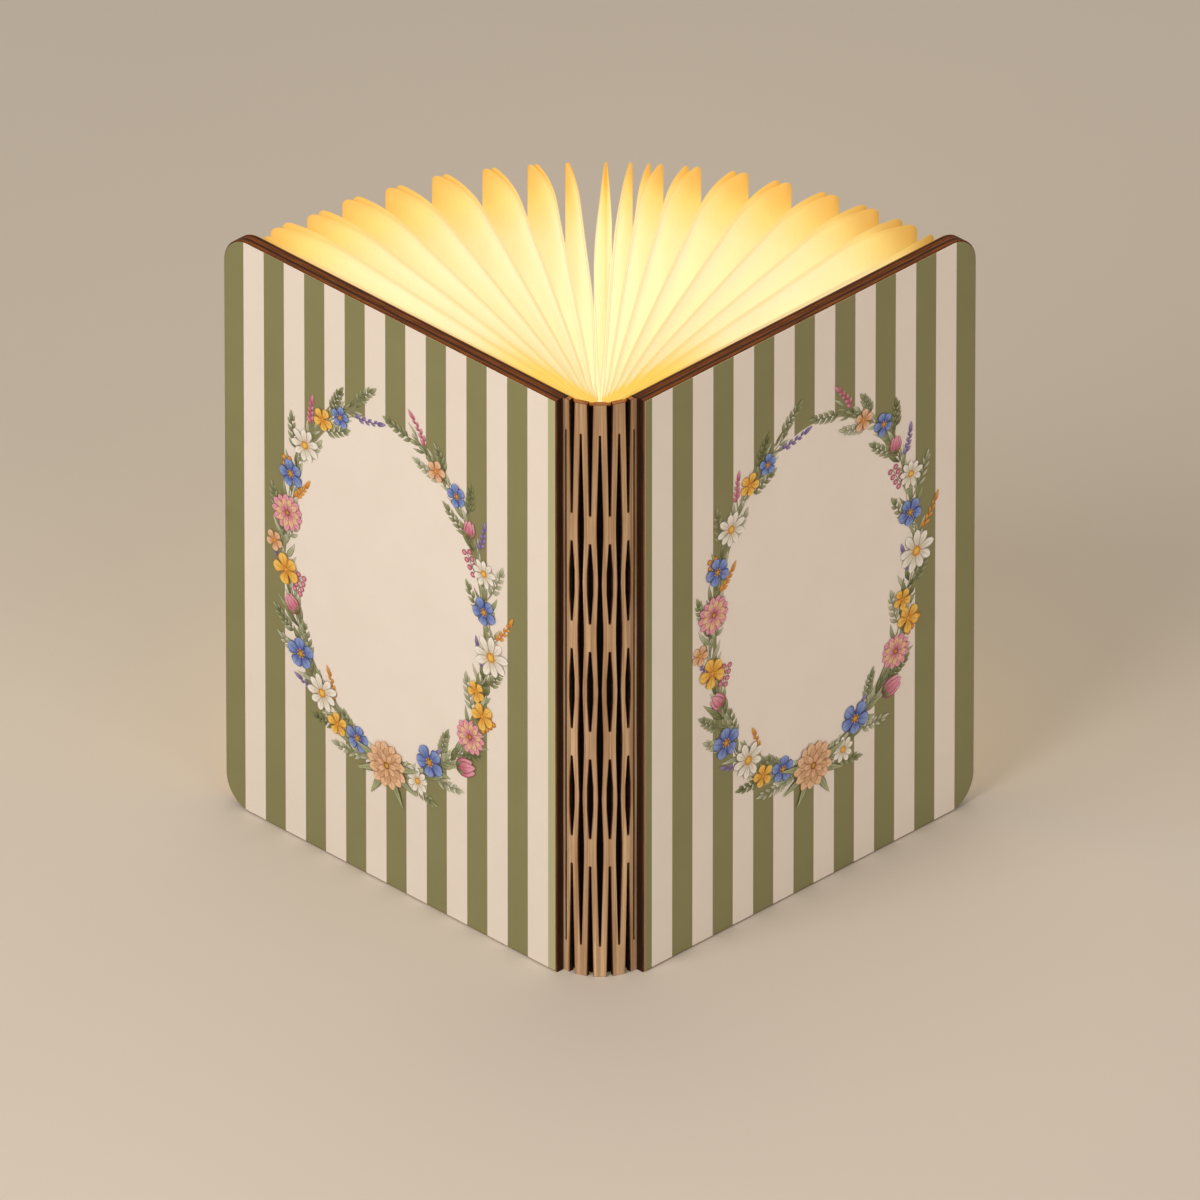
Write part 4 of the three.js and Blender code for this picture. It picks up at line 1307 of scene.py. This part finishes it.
def close_sheet(plan, columns):
    """Joins columns of corners into a sheet, cut away beside the core, and gives it the paper's thickness."""
    for (reach, near), (_, far) in zip(columns, columns[1:]):
        for n in range(len(near) - 1):
            if reach < leaf_notch and n < len(near) - 2:
                continue
            plan.faces.new((near[n], far[n], far[n + 1], near[n + 1]))
    loose = [vertex for vertex in plan.verts if not vertex.link_faces]
    bmesh.ops.delete(plan, geom=loose, context="VERTS")
    bmesh.ops.remove_doubles(plan, verts=plan.verts, dist=weld_distance / 2)
    bmesh.ops.recalc_face_normals(plan, faces=plan.faces)
    bmesh.ops.solidify(plan, geom=plan.faces, thickness=paper_thickness)
    bmesh.ops.recalc_face_normals(plan, faces=plan.faces)
    for face in plan.faces:
        face.smooth = True


def blend_layer(piece, word, index, kind, share, touch_share, half_gap, touch_point, toward):
    """Works out the bodies and the turns of a layer's tip and belly, the middle inner one towards the left, but blends
    nothing: the layer only has its place baked into its mesh.
    """
    near_spine = share < 0.5
    bodies = ("spine", f"{word}_slat") if near_spine else (f"{word}_slat", f"{word}_cover")
    start_share = 0 if near_spine else 0.5
    turned = 1
    if (kind, index) == ("inner", 0):
        bodies, turned = ("spine", "left_slat"), -1
    at_tip = unsmooth((share * turned - start_share) * 2)
    at_touch = unsmooth((touch_share * turned - start_share) * 2)
    touch_angle = touch_share * half_opening
    touch_way = Vector((math.cos(touch_angle), -math.sin(touch_angle), 0)) * -toward
    rate = (at_tip - at_touch) / (leaf_reach * math.sin(half_gap))
    start = touch_point - touch_way * (at_touch / rate)
    end = start + touch_way / rate
    mirror = Vector((SIDES[word], 1, 1))
    start * mirror
    end * mirror
    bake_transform(piece)


def make_layer(word, index, kind):
    """One layer of a leaf: inner and outer layers bow to the middle of the fan, and an end layer to the cover."""
    side = SIDES[word]
    shares = leaf_angle_shares[word]
    share = shares[index]
    toward = 1 if kind == "end" or (kind, index) == ("outer", 0) else -1
    neighbour = shares[index + toward] if 0 <= index + toward < len(shares) else -leaf_angle_shares["left"][1]
    touch_share = 1 if kind == "end" else (share + neighbour) / 2
    curve = end_sheet_curve if kind == "end" else bow_curve
    if index < 2:
        curve = slender_curves[word if index else f"middle_{kind}"]
    half_gap = abs(touch_share - share) * half_opening
    angle = share * half_opening
    root_clear = cover_clearance if kind == "end" else math.cos(angle) * leaf_pitch / 2
    root_x = index * leaf_pitch
    root_y = inner_line.y + leaf_root + max(0, root_x - inner_across) * math.tan(bend_angle)
    root = Vector((root_x, root_y, 0))
    along = Vector((math.sin(angle), math.cos(angle), 0))
    sideways = Vector((math.cos(angle), -math.sin(angle), 0)) * toward
    plan = bmesh.new()
    columns = []
    layer_reach = leaf_reach * (end_sheet_share if kind == "end" else leaf_reach_shares[word][index])
    along_layer = plan.verts.layers.float.new("along")
    for reach in leaf_distances(layer_reach):
        past = max(reach - (layer_reach - page_corner), 0)
        trim = page_corner - math.sqrt(max(page_corner ** 2 - past ** 2, 0))
        offset = layer_offset(
            kind if index else "inner", reach, layer_reach, half_gap, root_clear, curve, tip_gaps[word][index] * MM,
        )
        column = []
        for height in leaf_heights():
            z = min(max(height, page_foot + trim), page_head - trim)
            place = Vector((reach * waves_along + index * 5.3, z * waves_up, side * 3.7))
            wave = (noise.noise(place) - 0.4) * paper_waviness * smooth(reach / leaf_reach - 0.15)
            if kind == "end":
                wave = min(wave, 0)
            point = root + along * reach + sideways * (offset + wave)
            column.append(plan.verts.new((side * point.x, point.y, z)))
            column[-1][along_layer] = reach / layer_reach
        columns.append((reach, column))
    close_sheet(plan, columns)
    name = f"middle_leaf_{kind}_sheet" if index == 0 else f"{word}_leaf_{index}_{kind}_sheet"
    piece = link(name, plan, [page_paper])
    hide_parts("page_leaf_middle" if index == 0 else f"{word}_page_leaf_{index}")
    blend_layer(piece, word, index, kind, share, touch_share, half_gap, root + sideways * root_clear, toward)
    return piece


sheets = [make_layer("right", 0, kind) for kind in ("inner", "outer")]
for word in SIDES:
    for index in range(1, len(leaf_angle_shares[word])):
        sheets += [make_layer(word, index, kind) for kind in ("inner", "outer")]
    sheets.append(make_layer(word, index, "end"))
print(len(sheets), "paper layers of", len(sheets[0].data.polygons), "faces")

# %% [markdown]
# ## Solids that stay as they are
#
# The light core, its electronics and the magnets already have their true shapes, so they only get finishes.

# %% Finishes for the small parts
def speckled(name, first, second, roughness, scale=900, depth=0.00004, **numbers):
    finish = Finish(name, roughness=roughness, **numbers)
    speck = finish.grain(scale, scale, 3.0, 0.55)
    return finish.wear(
        base_color=finish.mix(speck, first, second),
        roughness=roughness - 0.06 + speck * 0.12,
        normal=finish.bump(speck, depth, 0.4),
    )


def glowing(finish, colour, strength):
    finish.shader.inputs["Emission Color"].default_value = paint(colour)
    finish.shader.inputs["Emission Strength"].default_value = strength
    return finish


core_plastic = speckled("core_plastic", "e9e6de", "f3f0e9", 0.5)
diffuser_plastic = glowing(speckled("diffuser_plastic", "fff1d0", "fff7e2", 0.4), "ffe9b0", 2.5)
circuit_board = speckled("circuit_board", "e6e4dc", "f2f0ea", 0.45, 1500)
led_lens = glowing(speckled("led_lens", "ffe27a", "ffeb9c", 0.25, 2000), "ffdf90", 4)
chip_plastic = speckled("chip_plastic", "17171a", "26262a", 0.5, 2500)
plated_steel = speckled("plated_steel", "aeb2b8", "c6c9ce", 0.28, 700, metallic=1.0)
cell_foil = speckled("cell_foil", "9aa6b4", "b4bec9", 0.35, 400, metallic=0.6)
red_insulation = speckled("red_insulation", "a82019", "bd2d23", 0.45, 1200)
black_insulation = speckled("black_insulation", "1a1a1c", "28282b", 0.45, 1200)
foam = speckled("foam", "303033", "454549", 0.9, 1800, 0.0002)

small_parts = {
    core_plastic: ["core_housing", "core_top_cap", "core_bottom_cap"],
    diffuser_plastic: ["core_diffuser"],
    circuit_board: ["led_board", "charge_board"],
    led_lens: [f"led_{n}" for n in range(1, 9)],
    chip_plastic: ["switch_sensor"],
    plated_steel: [
        "charging_socket", "switch_magnet", *[f"{word}_magnet_{end}" for word in SIDES for end in ("top", "bottom")],
    ],
    cell_foil: ["battery_cell"],
    red_insulation: ["battery_lead_positive", "board_jumper"],
    black_insulation: ["battery_lead_negative"],
    foam: ["core_tape"],
    glowing(speckled("indicator_lens", "d8f0d0", "e8f8e0", 0.3, 2000), "a0ff90", 1.5): ["charge_indicator"],
}
for finish, names in small_parts.items():
    for name in names:
        piece = frame["nodes"][name]
        piece.data.materials.clear()
        piece.data.materials.append(finish.material)
print(sum(len(names) for names in small_parts.values()), "solids finished")

# %% [markdown]
# ## Floor and light
#
# The lamp stands on a plain pale floor in soft studio light: a broad key from the left, a weak fill from the
# right and a pale world. The paper's own glow warms the floor behind the covers.

# %% Floor and lights
floor_finish = Finish("floor", roughness=0.7, specular_ior_level=0.2)
floor_cloud = floor_finish.grain(4, 1, 3.0, 0.5)
floor_finish.wear(base_color=floor_finish.mix(floor_cloud, "d9d0c4", "ded6ca"))

floor_half = 4
floor_plan = bmesh.new()
floor_plan.faces.new([
    floor_plan.verts.new((x * floor_half, y * floor_half, 0)) for x, y in ((-1, -1), (1, -1), (1, 1), (-1, 1))
])
link("floor", floor_plan, [floor_finish])


def softbox(name, azimuth, elevation, distance, size, energy, colour):
    data = bpy.data.lights.new(name, "AREA")
    data.shape = "DISK"
    data.size = size
    data.energy = energy
    data.color = paint(colour)[:3]
    lamp = bpy.data.objects.new(name, data)
    a, e = math.radians(azimuth), math.radians(elevation)
    away = Vector((math.sin(a) * math.cos(e), -math.cos(a) * math.cos(e), math.sin(e)))
    aim = Vector((0, 0, book_height / 2))
    lamp.location = aim + away * distance
    lamp.rotation_mode = "QUATERNION"
    lamp.rotation_quaternion = (-away).to_track_quat("-Z", "Y")
    bpy.context.scene.collection.objects.link(lamp)


softbox("key", -42, 38, 1.6, 1.0, 14, "fff5ea")
softbox("fill", 32, 24, 1.8, 1.4, 9, "fff0e2")
softbox("top", 170, 65, 1.8, 1.2, 5, "fff0da")

world = bpy.data.worlds.new("studio")
world.use_nodes = True
world.node_tree.nodes["Background"].inputs["Color"].default_value = paint("ece6df")
world.node_tree.nodes["Background"].inputs["Strength"].default_value = 0.35
bpy.context.scene.world = world
bpy.context.scene.view_settings.view_transform = "Standard"
print("three softboxes and a pale world")
